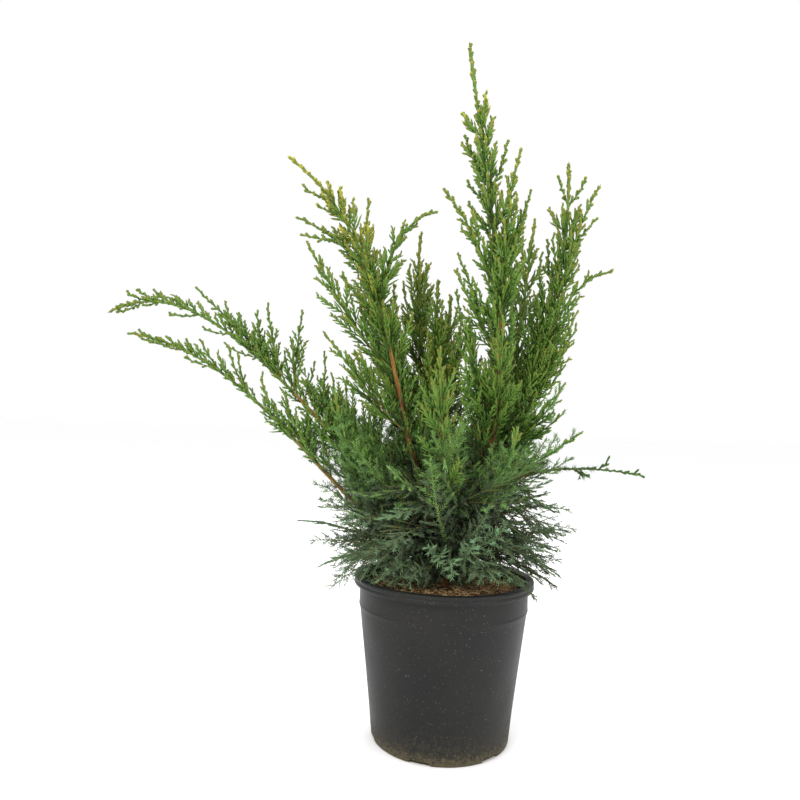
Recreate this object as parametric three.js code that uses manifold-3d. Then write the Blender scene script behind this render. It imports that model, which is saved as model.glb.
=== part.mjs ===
// A young spreading juniper in a round black nursery pot.
// Millimetres, +Z up. The origin is the centre of the pot's flat underside, and -Y faces the viewer.
// The pot holds a plug of compost. A short trunk stands on the compost and forks into boughs, each one
// a tapering limb. Each bough ends in a plume of foliage and carries further plumes along its side.
// Every plume grows by one seeded rule: a stem with toothed sprays of scale leaves set round it at the
// golden angle, their roots sunk into it, longest at its foot and shortest at its tip.
import * as THREE from "three";
import { mergeVertices } from "three/addons/utils/BufferGeometryUtils.js";
import Module from "manifold-3d";

const wasm = await Module();
wasm.setup();
const { Manifold, Mesh: SolidMesh } = wasm;

// The pot, a 3 litre container
const POT_HEIGHT = 167;
const POT_BASE_RADIUS = 72;
const POT_WALL = 2.2;
const POT_FLOOR = 2.8;
const POT_SIDES = 36;
const LIP_RADIUS = 95;
const LIP_HEIGHT = 9;
const LIP_ROUNDING = 2;
const RIDGE_HEIGHT = 135;
const RIDGE_STEP = 1.2;
const COLLAR_RADIUS = 89;
const DRAIN_SLOTS = 6;
const DRAIN_WIDTH = 20;
const DRAIN_HEIGHT = 6;
const FIRST_DRAIN = 15;

// The compost and the trunk that stands on it
const COMPOST_TOP = 157;
const COMPOST_EDGE = 152;
const COMPOST_FLAT_RADIUS = 48;
const GAP = 0.3;
const TRUNK_HEIGHT = 27;
const TRUNK_RADIUS = 8;
const FLARE_RADIUS = 15;
const FLARE_POWER = 4;
const TRUNK_TAPER = 1;
const TRUNK_SIDES = 12;
const TRUNK_STEPS = 6;
const TRUNK_LEAN = 4;

// A limb is made of straight stretches of about this length, and tapers to its tip
const LIMB_STEP = 45;
const LIMB_SIDES = 6;
const LIMB_TAPER = 0.7;
const TIP_RADIUS = 0.9;

// A plume's stem is thinner than a bough, and its green is bright above this height
const STEM_STEP = 42;
const STEM_SIDES = 3;
const STEM_RADIUS = 2.2;
const SKIRT_STEM_RADIUS = 2;
const BRIGHT_HEIGHT = 480;

// The growth rule: sprays stand round a stem at the golden angle, from its first to its last share.
// A spray is a toothed blade. Its length is a share of the stem that is left above its root, and its
// root strays up by a share of the spacing.
const GOLDEN_ANGLE = 137.508;
const GOLDEN_SHARE = 0.618;
const SPRAY_SPACING = 31;
const SPRAY_ANGLE = 33;
const SPRAY_LIFT = 0.12;
const SPRAY_SPAN = [0.1, 0.97];
const SPRAY_SHARE = 0.45;
const LONGEST_SPRAY = 60;
const SHORTEST_SPRAY = 20;
const SECOND_TRY = 0.62;
const CLEARANCE = 0.6;
const SHARE_PLAY = 0.5;

// The blade: how wide and thick it is, and how its teeth stand on its rib, in tooth spacings
const SPRAY_SLIMNESS = 0.5;
const SPRAY_THICKNESS = 1.6;
const RIB_SHARE = 0.09;
const TOOTH_SPACING = 17;
const MOST_TEETH = 3;
const FIRST_TOOTH = 0.5;
const TOOTH_RISE = 1.55;
const BARE_TIP = 0.9;
const TOOTH_SHRINK = 0.45;

// Corners nearer than this become one where a closed mesh becomes a solid
const WELD = 1e-4;

const BARK = { color: "#7a4526", roughness: 0.85, metalness: 0 };
const PLASTIC = { color: "#38383a", roughness: 0.55, metalness: 0 };
const COMPOST = { color: "#5a4128", roughness: 0.95, metalness: 0 };
const GREENS = { bright: "#5f8f32", mid: "#47762f", deep: "#386347", blue: "#3f6a5a" };

// Each bough: the limb that it leaves, how far up that limb, the place of its tip, how far it leans
// from upright at its foot and at its tip, its radius at the foot, and the share of it that is bare wood.
// Where it sets out another way than straight at its tip, "toward" gives that heading.
const BOUGHS = {
  leader_left: { on: "trunk", at: 0.96, tip: [-179, -30, 609], lean: [28, 56], radius: 3.8, wood: 0.6 },
  leader_right: {
    on: "trunk", at: 0.62, tip: [11, -10, 745], toward: [1, 0], lean: [29, -8], radius: 4.2, wood: 0.5,
  },
  arch_left_low: { on: "trunk", at: 0.45, tip: [-344, -40, 414], lean: [65, 85], radius: 3, wood: 0.58 },
  arch_left_high: {
    on: "leader_left", at: 0.07, tip: [-404, 30, 446], lean: [58, 118], radius: 3, wood: 0.6,
  },
  leader_centre: {
    on: "leader_right", at: 0.05, tip: [-38, 55, 553], toward: [-1, 3], lean: [40, -20], radius: 2.8, wood: 0.42,
  },
  stem_left_back: {
    on: "leader_left", at: 0.12, tip: [-104, 75, 600], lean: [16, -8], radius: 2.6, wood: 0.45,
  },
  stem_right: { on: "leader_right", at: 0.09, tip: [130, 45, 635], lean: [30, -3], radius: 3.3, wood: 0.5 },
  stem_right_back: {
    on: "leader_right", at: 0.16, tip: [101, 105, 586], lean: [42, 16], radius: 2.6, wood: 0.42,
  },
  stem_back: { on: "trunk", at: 0.8, tip: [-2, 165, 504], lean: [34, 14], radius: 2.8, wood: 0.35 },
  arch_back_left: {
    on: "leader_left", at: 0.04, tip: [-199, 150, 381], lean: [53, 66], radius: 2.6, wood: 0.35,
  },
  arch_right_low: {
    on: "leader_right", at: 0.13, tip: [206, -10, 280], lean: [40, 100], radius: 2.2, wood: 0.4,
  },
};

// The plumes on each bough's side: how far up it, the tip, the lean at foot and tip, and the green.
const SIDE_PLUMES = {
  arch_left_low: {
    inner: { at: 0.5, tip: [-199, -30, 373], lean: [37, 8], tone: "mid" },
    front: { at: 0.26, tip: [-114, -60, 356], lean: [11, 14], tone: "mid" },
  },
  arch_left_high: {
    outer: { at: 0.58, tip: [-299, 38, 479], lean: [23, 42], tone: "bright" },
    middle: { at: 0.5, tip: [-209, 20, 457], lean: [9, 8], tone: "mid" },
    inner: { at: 0.45, tip: [-174, 45, 458], toward: [1, 0.2], lean: [0, 6], tone: "mid" },
  },
  leader_left: {
    low: { at: 0.3, tip: [-127, -50, 414], lean: [58, 45], tone: "mid" },
    outer: { at: 0.44, tip: [-152, -50, 513], lean: [53, 32], tone: "bright" },
    side: { at: 0.58, tip: [-172, 0, 552], lean: [12, 66], tone: "bright" },
    inner: { at: 0.59, tip: [-19, -20, 553], toward: [1, 0.1], lean: [2, 80], tone: "bright" },
    skirt: { at: 0.1, tip: [-94, -70, 309], lean: [66, 34], tone: "deep" },
  },
  leader_centre: {
    front: { at: 0.36, tip: [-16, 15, 490], toward: [0.4, -1], lean: [12, 6], tone: "mid" },
  },
  leader_right: {
    inner: { at: 0.49, tip: [-7, -30, 563], toward: [-1, -0.2], lean: [14, 43], tone: "bright" },
    low: { at: 0.4, tip: [4, -30, 491], toward: [-1, -0.4], lean: [26, 20], tone: "mid" },
    outer: { at: 0.49, tip: [77, -20, 558], toward: [1, -0.2], lean: [12, 22], tone: "bright" },
    front: { at: 0.46, tip: [67, -40, 612], toward: [1, -0.8], lean: [8, 20], tone: "bright" },
    base: { at: 0.24, tip: [52, -55, 435], toward: [0.3, -1], lean: [26, 2], tone: "mid" },
    skirt_high: { at: 0.07, tip: [-9, -130, 393], toward: [-0.3, -1], lean: [52, 4], tone: "mid" },
    skirt_middle: { at: 0.03, tip: [-16, -105, 298], toward: [-0.3, -1], lean: [66, 24], tone: "deep" },
    skirt_right: { at: 0.11, tip: [65, -90, 325], toward: [0.3, -1], lean: [64, 14], tone: "deep" },
  },
  stem_right: {
    high: { at: 0.49, tip: [166, 40, 607], lean: [20, 30], tone: "bright" },
    middle: { at: 0.46, tip: [169, -10, 493], lean: [24, 98], tone: "bright" },
    low: { at: 0.36, tip: [134, 0, 452], lean: [50, 22], tone: "mid" },
    base: { at: 0.2, tip: [114, -45, 371], lean: [56, 30], tone: "deep" },
    skirt: { at: 0.1, tip: [128, -60, 322], lean: [66, 56], tone: "deep" },
  },
  stem_back: {
    side: { at: 0.3, tip: [78, 130, 451], lean: [40, 18], tone: "mid" },
  },
};

// The skirt of young sprays that hang out over the rim, round the foot of the trunk
const SKIRT_COUNT = 9;
const SKIRT_FIRST_HEADING = 200;
const SKIRT_TURN_PLAY = 0.3;
const SKIRT_REACH = [118, 142];
const SKIRT_TIP_HEIGHT = [178, 226];
const SKIRT_LEAN = [58, 100];
const SKIRT_TRUNK_SPAN = [0.12, 0.85];

// Which draw each kind of choice takes, so that no two share one
const DRAW = { skirtTurn: 7, skirtReach: 8, skirtHeight: 9, firstTurn: 100, facing: 50 };

const radians = THREE.MathUtils.degToRad;
const UP = new THREE.Vector3(0, 0, 1);

// A repeatable number from 0 to 1 for a seed and a count
function chance(seed, count) {
  const wave = Math.sin(seed * 127.1 + count * 311.7) * 43758.5453;
  return wave - Math.floor(wave);
}

function between([low, high], share) {
  return low + (high - low) * share;
}

// A limb's centre line: a cubic from foot to tip that leans by the two angles from upright
class LimbPath extends THREE.Curve {
  constructor(foot, tip, toward, lean) {
    super();
    this.foot = foot;
    this.tip = tip;
    const flat = toward
      ? new THREE.Vector3(toward[0], toward[1], 0)
      : new THREE.Vector3(tip.x - foot.x, tip.y - foot.y, 0);
    flat.normalize();
    const length = foot.distanceTo(tip);
    [this.footPull, this.tipPull] = lean.map((angle) =>
      flat
        .clone()
        .multiplyScalar(Math.sin(radians(angle)) * length)
        .addScaledVector(UP, Math.cos(radians(angle)) * length),
    );
  }
  getPoint(t, target = new THREE.Vector3()) {
    const t2 = t * t;
    const t3 = t2 * t;
    return target
      .set(0, 0, 0)
      .addScaledVector(this.foot, 2 * t3 - 3 * t2 + 1)
      .addScaledVector(this.footPull, t3 - 2 * t2 + t)
      .addScaledVector(this.tip, 3 * t2 - 2 * t3)
      .addScaledVector(this.tipPull, t3 - t2);
  }
}

// A stretch of another curve
class Stretch extends THREE.Curve {
  constructor(whole, start, end) {
    super();
    Object.assign(this, { whole, start, end });
  }
  getPoint(t, target = new THREE.Vector3()) {
    return this.whole.getPointAt(this.start + (this.end - this.start) * t, target);
  }
}

// Two directions square to a limb, for setting sprays round it
function across(direction) {
  const aside = Math.abs(direction.y) < 0.8 ? new THREE.Vector3(0, 1, 0) : UP;
  const first = new THREE.Vector3().crossVectors(direction, aside).normalize();
  const second = new THREE.Vector3().crossVectors(direction, first).normalize();
  return [first, second];
}

// The direction that leaves a limb at an angle, turned round it
function branchDirection(direction, turn, angle) {
  const [first, second] = across(direction);
  return direction
    .clone()
    .multiplyScalar(Math.cos(radians(angle)))
    .addScaledVector(first, Math.sin(radians(angle)) * Math.cos(radians(turn)))
    .addScaledVector(second, Math.sin(radians(angle)) * Math.sin(radians(turn)));
}

// A closed mesh as a solid, and back
function toSolid(geometry) {
  const bare = geometry.clone();
  bare.deleteAttribute("normal");
  bare.deleteAttribute("uv");
  const merged = mergeVertices(bare, WELD);
  return new Manifold(
    new SolidMesh({
      numProp: 3,
      vertProperties: new Float32Array(merged.attributes.position.array),
      triVerts: new Uint32Array(merged.index.array),
    }),
  );
}

function toGeometry(solid) {
  const { vertProperties, triVerts, numProp } = solid.getMesh();
  const places = new Float32Array((vertProperties.length / numProp) * 3);
  for (let i = 0; i < places.length / 3; i += 1) {
    for (let k = 0; k < 3; k += 1) places[i * 3 + k] = vertProperties[i * numProp + k];
  }
  const geometry = new THREE.BufferGeometry();
  geometry.setAttribute("position", new THREE.BufferAttribute(places, 3));
  geometry.setIndex(new THREE.BufferAttribute(new Uint32Array(triVerts), 1));
  geometry.computeVertexNormals();
  return geometry;
}

// A closed cylinder bent along a curve, its radius given by a function of the share of its length
function bentLimb(curve, radiusAt, sides, steps) {
  const geometry = new THREE.CylinderGeometry(1, 1, 1, sides, steps);
  const frames = curve.computeFrenetFrames(steps);
  const places = geometry.attributes.position;
  const vertex = new THREE.Vector3();
  for (let i = 0; i < places.count; i += 1) {
    vertex.fromBufferAttribute(places, i);
    const share = vertex.y + 0.5;
    const step = Math.round(share * steps);
    const radius = radiusAt(share);
    const place = curve
      .getPointAt(Math.min(1, Math.max(0, share)))
      .addScaledVector(frames.normals[step], vertex.z * radius)
      .addScaledVector(frames.binormals[step], vertex.x * radius);
    places.setXYZ(i, place.x, place.y, place.z);
  }
  return toSolid(geometry);
}

// The outline of one spray: a slim rib whose teeth on both sides point forward past the next tooth's foot
function sprayOutline(length, width, teeth) {
  const rib = RIB_SHARE * width;
  const step = length / (teeth + FIRST_TOOTH + BARE_TIP);
  const side = [];
  for (let i = 0; i < teeth; i += 1) {
    const foot = step * (FIRST_TOOTH + i);
    const shrink = 1 - (TOOTH_SHRINK * i) / teeth;
    side.push([(width / 2) * shrink, foot + TOOTH_RISE * step], [rib, foot + step]);
  }
  const left = side.map(([x, y]) => [-x, y]).reverse();
  return new THREE.Shape([[0, 0], ...side, [0, length], ...left].map(([x, y]) => new THREE.Vector2(x, y)));
}

// A spray from root to tip, turned about its own rib, and grown all round by a margin
function spraySolid(root, tip, turn, margin = 0) {
  const axis = tip.clone().sub(root);
  const length = axis.length();
  axis.normalize();
  const teeth = THREE.MathUtils.clamp(Math.round(length / TOOTH_SPACING), 1, MOST_TEETH);
  const width = SPRAY_SLIMNESS * length + 2 * margin;
  const depth = SPRAY_THICKNESS + 2 * margin;
  const shape = sprayOutline(length + margin, width, teeth);
  const geometry = new THREE.ExtrudeGeometry(shape, { depth, bevelEnabled: false });
  geometry.translate(0, 0, -depth / 2);
  const normal = branchDirection(axis, turn, 90);
  const side = new THREE.Vector3().crossVectors(axis, normal);
  geometry.applyMatrix4(new THREE.Matrix4().makeBasis(side, axis, normal).setPosition(root));
  return toSolid(geometry);
}

// A body of revolution about the vertical
function turned(profile, segments) {
  const points = profile.map(([radius, height]) => new THREE.Vector2(radius, height));
  return new THREE.LatheGeometry(points, segments).rotateX(Math.PI / 2);
}

// Space already taken by wood and foliage, each with its clearance
const taken = [];

function take(owner, solid) {
  taken.push({ owner, solid, box: solid.boundingBox() });
}

function isClear(owner, solid) {
  const box = solid.boundingBox();
  const apart = (other) => [0, 1, 2].some((k) => box.min[k] > other.max[k] || other.min[k] > box.max[k]);
  return taken.every(
    (other) => other.owner === owner || apart(other.box) || solid.intersect(other.solid).isEmpty(),
  );
}

// The pot's outer radius below its ridge, and its inner radius above it
const wallRadius = (height) =>
  POT_BASE_RADIUS + ((COLLAR_RADIUS - RIDGE_STEP - POT_BASE_RADIUS) * height) / RIDGE_HEIGHT;
const COLLAR_INSIDE = COLLAR_RADIUS - POT_WALL;

// The inside of the pot from its floor to just over the ridge, drawn in by a margin
function innerProfile(margin) {
  const inside = (height) => wallRadius(height) - POT_WALL - margin;
  return [
    [0, POT_FLOOR + margin],
    [inside(POT_FLOOR), POT_FLOOR + margin],
    [inside(RIDGE_HEIGHT - RIDGE_STEP), RIDGE_HEIGHT - RIDGE_STEP],
    [COLLAR_INSIDE - margin, RIDGE_HEIGHT + RIDGE_STEP],
  ];
}

// The pot: a tapering wall with a ridge, a rolled lip, a flat underside and slots in its bottom edge
function makePot() {
  const lipFoot = POT_HEIGHT - LIP_HEIGHT;
  const profile = [
    [0, 0],
    [POT_BASE_RADIUS - LIP_ROUNDING, 0],
    [POT_BASE_RADIUS, LIP_ROUNDING],
    [wallRadius(RIDGE_HEIGHT - RIDGE_STEP), RIDGE_HEIGHT - RIDGE_STEP],
    [COLLAR_RADIUS - RIDGE_STEP / 2, RIDGE_HEIGHT],
    [COLLAR_RADIUS, lipFoot],
    [LIP_RADIUS - LIP_ROUNDING / 2, lipFoot],
    [LIP_RADIUS, lipFoot + LIP_ROUNDING],
    [LIP_RADIUS, POT_HEIGHT - LIP_ROUNDING],
    [LIP_RADIUS - LIP_ROUNDING, POT_HEIGHT],
    [COLLAR_INSIDE + LIP_ROUNDING, POT_HEIGHT],
    [COLLAR_INSIDE, POT_HEIGHT - LIP_ROUNDING],
    ...innerProfile(0).reverse(),
  ];
  let solid = toSolid(turned(profile, POT_SIDES));
  for (let i = 0; i < DRAIN_SLOTS; i += 1) {
    const slot = new THREE.BoxGeometry(3 * POT_WALL, DRAIN_WIDTH, DRAIN_HEIGHT);
    slot.translate(POT_BASE_RADIUS, 0, DRAIN_HEIGHT / 2 - LIP_ROUNDING);
    slot.rotateZ(radians((360 / DRAIN_SLOTS) * i + FIRST_DRAIN));
    solid = solid.subtract(toSolid(slot));
  }
  return solid;
}

// The compost plug, clear of the pot all round, with a flat crown for the trunk
function makeCompost() {
  const profile = [
    ...innerProfile(GAP),
    [COLLAR_INSIDE - GAP, COMPOST_EDGE],
    [COMPOST_FLAT_RADIUS, COMPOST_TOP],
    [0, COMPOST_TOP],
  ];
  return toSolid(turned(profile, POT_SIDES));
}

function largestBody(solid) {
  const bodies = solid.decompose();
  return bodies.reduce((best, body) => (body.volume() > best.volume() ? body : best));
}

const pot = makePot();
const compost = makeCompost();
take("pot", pot);
take("compost", compost);

// The wood, in the order that it grows: each limb's solid, and the same solid grown by the gap
const wood = new Map();

function clearOfWood(solid) {
  return [...wood.values()].reduce((left, { fat }) => left.subtract(fat), solid);
}

function addLimb(name, path, radiusAt, sides, steps) {
  const grown = (margin) => bentLimb(path, (share) => radiusAt(share) + margin, sides, steps);
  wood.set(name, { solid: largestBody(clearOfWood(grown(0))), fat: grown(GAP) });
  take(name, grown(CLEARANCE));
}

// The trunk: a flat cut on the compost, a root flare, and a lean to its fork
const trunkFoot = new THREE.Vector3(0, 0, COMPOST_TOP + GAP);
const trunkTip = new THREE.Vector3(TRUNK_LEAN, 0, COMPOST_TOP + GAP + TRUNK_HEIGHT);
const trunkPath = new THREE.LineCurve3(trunkFoot, trunkTip);
const trunkRadius = (share) =>
  TRUNK_RADIUS + (FLARE_RADIUS - TRUNK_RADIUS) * (1 - share) ** FLARE_POWER - TRUNK_TAPER * share;
addLimb("trunk", trunkPath, trunkRadius, TRUNK_SIDES, TRUNK_STEPS);
const ground = new THREE.BoxGeometry(4 * FLARE_RADIUS, 4 * FLARE_RADIUS, FLARE_RADIUS);
ground.translate(0, 0, trunkFoot.z - FLARE_RADIUS / 2);
wood.get("trunk").solid = wood.get("trunk").solid.subtract(toSolid(ground));

// The boughs: each is bare wood up to where its plume starts
const lines = new Map([["trunk", { path: trunkPath }]]);
for (const [name, bough] of Object.entries(BOUGHS)) {
  const foot = lines.get(bough.on).path.getPointAt(bough.at);
  const path = new LimbPath(foot, new THREE.Vector3(...bough.tip), bough.toward, bough.lean);
  const radiusAt = (share) => bough.radius * (1 - share) ** LIMB_TAPER + TIP_RADIUS;
  lines.set(name, { path, radiusAt });
  const bare = new Stretch(path, 0, bough.wood);
  const steps = Math.max(4, Math.round(bare.getLength() / LIMB_STEP));
  addLimb(name, bare, (share) => radiusAt(share * bough.wood), LIMB_SIDES, steps);
}

// Every plume's stem. A plume's space is what lies nearer to its own stem than to any other.
const plumes = [];
for (const [name, bough] of Object.entries(BOUGHS)) {
  const { path, radiusAt } = lines.get(name);
  const start = bough.wood + GAP / path.getLength();
  plumes.push({
    name: `plume_${name}`,
    stem: new Stretch(path, start, 1),
    radiusAt: (share) => radiusAt(start + (1 - start) * share),
    tone: bough.tip[2] > BRIGHT_HEIGHT ? "bright" : "mid",
  });
}
for (const [bough, sides] of Object.entries(SIDE_PLUMES)) {
  for (const [name, plume] of Object.entries(sides)) {
    const foot = lines.get(bough).path.getPointAt(plume.at);
    plumes.push({
      name: `plume_${bough}_${name}`,
      stem: new LimbPath(foot, new THREE.Vector3(...plume.tip), plume.toward, plume.lean),
      radiusAt: (share) => between([STEM_RADIUS, TIP_RADIUS], share),
      tone: plume.tone,
    });
  }
}
for (let i = 0; i < SKIRT_COUNT; i += 1) {
  const turn = i + SKIRT_TURN_PLAY * chance(DRAW.skirtTurn, i);
  const heading = radians(SKIRT_FIRST_HEADING + (360 / SKIRT_COUNT) * turn);
  const reach = between(SKIRT_REACH, chance(DRAW.skirtReach, i));
  const height = between(SKIRT_TIP_HEIGHT, chance(DRAW.skirtHeight, i));
  const foot = trunkPath.getPoint(between(SKIRT_TRUNK_SPAN, (i * GOLDEN_SHARE) % 1));
  const tip = new THREE.Vector3(reach * Math.cos(heading), reach * Math.sin(heading), height);
  plumes.push({
    name: `skirt_spray_${i + 1}`,
    stem: new LimbPath(foot, tip, undefined, SKIRT_LEAN),
    radiusAt: (share) => between([SKIRT_STEM_RADIUS, TIP_RADIUS], share),
    tone: "blue",
  });
}

function distanceToStem(place, plume) {
  const segment = new THREE.Line3();
  const nearest = new THREE.Vector3();
  let least = Infinity;
  for (let i = 1; i < plume.line.length; i += 1) {
    segment.set(plume.line[i - 1], plume.line[i]).closestPointToPoint(place, true, nearest);
    least = Math.min(least, nearest.distanceTo(place));
  }
  return least;
}

function inOwnSpace(place, own) {
  const mine = distanceToStem(place, own);
  return plumes.every((other) => other === own || distanceToStem(place, other) > mine);
}

// All stems are laid before any spray grows, each cut clear of the wood and of the stems before it
const stemsLaid = [];
for (const plume of plumes) {
  const steps = Math.max(3, Math.round(plume.stem.getLength() / STEM_STEP));
  const grown = (margin) =>
    bentLimb(plume.stem, (share) => plume.radiusAt(share) + margin, STEM_SIDES, steps);
  plume.line = plume.stem.getSpacedPoints(2 * steps);
  plume.solid = largestBody(stemsLaid.reduce((left, fat) => left.subtract(fat), clearOfWood(grown(0))));
  stemsLaid.push(grown(2 * GAP));
  take(plume.name, grown(CLEARANCE));
}

// One plume: sprays set up its stem at the golden angle, longest at its foot
function growPlume(plume, seed) {
  const length = plume.stem.getLength();
  const count = Math.max(3, Math.round(length / SPRAY_SPACING));
  const parts = [plume.solid];
  for (let k = 0; k < count; k += 1) {
    const share = between(SPRAY_SPAN, (k + SHARE_PLAY * chance(seed, k)) / count);
    const root = plume.stem.getPointAt(share);
    const turn = GOLDEN_ANGLE * k + 360 * chance(seed, DRAW.firstTurn);
    const direction = branchDirection(plume.stem.getTangentAt(share), turn, SPRAY_ANGLE);
    direction.addScaledVector(UP, SPRAY_LIFT).normalize();
    const left = SPRAY_SHARE * length * (1 - share);
    const wished = THREE.MathUtils.clamp(left, SHORTEST_SPRAY, LONGEST_SPRAY);
    const facing = 180 * chance(seed, DRAW.facing + k);
    for (const reach of [wished, SECOND_TRY * wished]) {
      const tip = root.clone().addScaledVector(direction, reach);
      const spray = spraySolid(root, tip, facing);
      if (inOwnSpace(tip, plume) && isClear(plume.name, spray)) {
        parts.push(spray);
        take(plume.name, spraySolid(root, tip, facing, CLEARANCE));
        break;
      }
    }
  }
  return largestBody(clearOfWood(Manifold.union(parts)));
}

const plant = new THREE.Group();

function addNode(name, solid, finish) {
  const mesh = new THREE.Mesh(toGeometry(solid), new THREE.MeshStandardMaterial(finish));
  mesh.name = name;
  plant.add(mesh);
}

addNode("pot", pot, PLASTIC);
addNode("compost", compost, COMPOST);
for (const [name, { solid }] of wood) addNode(name, solid, BARK);
plumes.forEach((plume, index) => {
  const finish = { color: GREENS[plume.tone], roughness: 0.6, metalness: 0 };
  addNode(plume.name, growPlume(plume, index + 1), finish);
});

export default plant;
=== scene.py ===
# A young spreading juniper in a round black nursery pot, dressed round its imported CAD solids.
# Lengths are millimetres, as in the part's source, and turn into metres where a mesh is filled. Those of
# the materials, the lights and the camera are metres.
import math

import bpy
import numpy as np
from mathutils import Matrix, Vector


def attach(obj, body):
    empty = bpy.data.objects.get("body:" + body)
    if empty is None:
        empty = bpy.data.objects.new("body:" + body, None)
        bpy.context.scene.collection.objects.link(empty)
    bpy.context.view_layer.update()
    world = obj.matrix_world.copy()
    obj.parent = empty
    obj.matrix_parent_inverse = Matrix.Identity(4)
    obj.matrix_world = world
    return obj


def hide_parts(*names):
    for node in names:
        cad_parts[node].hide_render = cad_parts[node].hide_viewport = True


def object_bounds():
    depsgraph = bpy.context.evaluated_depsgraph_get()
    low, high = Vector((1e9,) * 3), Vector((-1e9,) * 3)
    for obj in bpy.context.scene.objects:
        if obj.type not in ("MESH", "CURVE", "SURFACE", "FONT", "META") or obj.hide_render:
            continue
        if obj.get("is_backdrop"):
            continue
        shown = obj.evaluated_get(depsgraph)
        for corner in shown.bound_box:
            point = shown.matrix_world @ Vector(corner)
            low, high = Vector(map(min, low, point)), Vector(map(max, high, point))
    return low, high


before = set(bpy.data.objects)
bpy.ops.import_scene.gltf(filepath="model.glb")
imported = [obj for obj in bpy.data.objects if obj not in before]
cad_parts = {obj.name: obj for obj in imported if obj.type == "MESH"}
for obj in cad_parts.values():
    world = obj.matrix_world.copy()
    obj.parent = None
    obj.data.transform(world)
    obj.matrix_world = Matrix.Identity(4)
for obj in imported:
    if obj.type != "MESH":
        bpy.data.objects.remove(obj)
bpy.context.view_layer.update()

# The pot: a round 3 litre nursery container, thin black polypropylene, moulded in one shot. Its wall
# tapers and has a soft nesting step with a thin mould ridge. Its lip is rolled into two beads, and its
# bottom edge has six drainage notches.
MILLIMETRE = 0.001
POT_HEIGHT = 167
POT_FOOT_RADIUS = 72
POT_WALL = 2.2
POT_FLOOR = 2.8
POT_COLUMNS = 288
FOOT_ROUNDING = 2
STEP_HEIGHT = 135
STEP_DEPTH = 0.7
STEP_SOFT = 3
RIDGE_RISE = 0.3
COLLAR_RADIUS = 89
LIP_FOOT = 158
LIP_RADIUS = 94.2
LIP_EDGE_RADIUS = 92.4
BEADS = 2
BEAD_RISE = 0.8
NOTCHES = 6
FIRST_NOTCH = 15
NOTCH_HALF_WIDTH = 10
NOTCH_HEIGHT = 4
NOTCH_DEPTH = 3.6
OUT_OF_ROUND = 0.35
KNOCKS = ((176, 96, 9, 1.1), (168, 88, 6, 0.7), (-40, 60, 14, 0.5), (60, 75, 12, 0.8))
KNOCKED_RADIUS = 80


def stand(name, data):
    """A new object with this data, linked into the scene."""
    thing = bpy.data.objects.new(name, data)
    bpy.context.scene.collection.objects.link(thing)
    return thing


def make_piece(name, places, faces, finishes, dealt=None, smooth=True, grain=None):
    """A mesh object at the origin, from places in millimetres and arrays of faces that each hold faces of
    one size. dealt is each face's place in the list of finishes, and grain a point for each corner that a
    pattern can follow."""
    mesh = bpy.data.meshes.new(name)
    corners = np.concatenate([part.ravel() for part in faces])
    sizes = np.concatenate([np.full(len(part), part.shape[1]) for part in faces])
    mesh.vertices.add(len(places))
    mesh.vertices.foreach_set("co", (places * MILLIMETRE).astype(np.float32).ravel())
    mesh.loops.add(len(corners))
    mesh.loops.foreach_set("vertex_index", corners.astype(np.int32))
    mesh.polygons.add(len(sizes))
    mesh.polygons.foreach_set("loop_start", (np.cumsum(sizes) - sizes).astype(np.int32))
    mesh.polygons.foreach_set("use_smooth", np.full(len(sizes), smooth))
    if dealt is not None:
        mesh.polygons.foreach_set("material_index", dealt.astype(np.int32))
    if grain is not None:
        layer = mesh.attributes.new("grain", "FLOAT_VECTOR", "POINT")
        layer.data.foreach_set("vector", (grain * MILLIMETRE).astype(np.float32).ravel())
    mesh.update(calc_edges=True)
    mesh.validate()
    for finish in finishes:
        mesh.materials.append(finish)
    piece = stand(name, mesh)
    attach(piece, "root")
    return piece


def turned_faces(rows, columns):
    """The faces of a shape turned round a line: quads between neighbouring rings, numbered ring by ring,
    and a fan at each end round a pole. The poles are the last two corners, the first ring's first."""
    row, column = np.meshgrid(np.arange(rows - 1), np.arange(columns), indexing="ij")
    right = (column + 1) % columns
    near, far = row * columns, (row + 1) * columns
    quads = np.stack([near + column, near + right, far + right, far + column], -1).reshape(-1, 4)
    ring = np.arange(columns)
    turned = (ring + 1) % columns
    last = (rows - 1) * columns
    first_pole = np.full(columns, rows * columns)
    fans = np.concatenate([
        np.stack([first_pole, turned, ring], -1),
        np.stack([first_pole + 1, last + ring, last + turned], -1),
    ])
    return [quads, fans]


def waves(points, reach, seed, count=14):
    """A smooth unevenness from about -1 to 1: the mean of plane waves of random headings and phases, with
    lengths round the reach, times the root of their number."""
    draw = np.random.default_rng(seed)
    headings = draw.normal(size=(count, points.shape[-1]))
    headings /= np.linalg.norm(headings, axis=1)[:, None]
    pace = 2 * math.pi / (reach * draw.uniform(0.6, 1.7, count))
    phase = draw.uniform(0, 2 * math.pi, count)
    return np.sin(points @ (headings * pace[:, None]).T + phase).sum(-1) / math.sqrt(count)


class Value:
    """One output of a shader node. Python's operators on it add Math nodes, so a mask reads as a sum."""

    def __init__(self, finish, socket):
        self.finish, self.socket = finish, socket

    def maths(self, operation, first, second):
        """A Math node of two numbers or values."""
        return self.finish.add("Math", {0: first, 1: second}, operation=operation)

    def __add__(self, other):
        return self.maths("ADD", self, other)

    def __sub__(self, other):
        return self.maths("SUBTRACT", self, other)

    def __rsub__(self, other):
        return self.maths("SUBTRACT", other, self)

    def __mul__(self, other):
        return self.maths("MULTIPLY", self, other)

    __radd__, __rmul__ = __add__, __mul__


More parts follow.
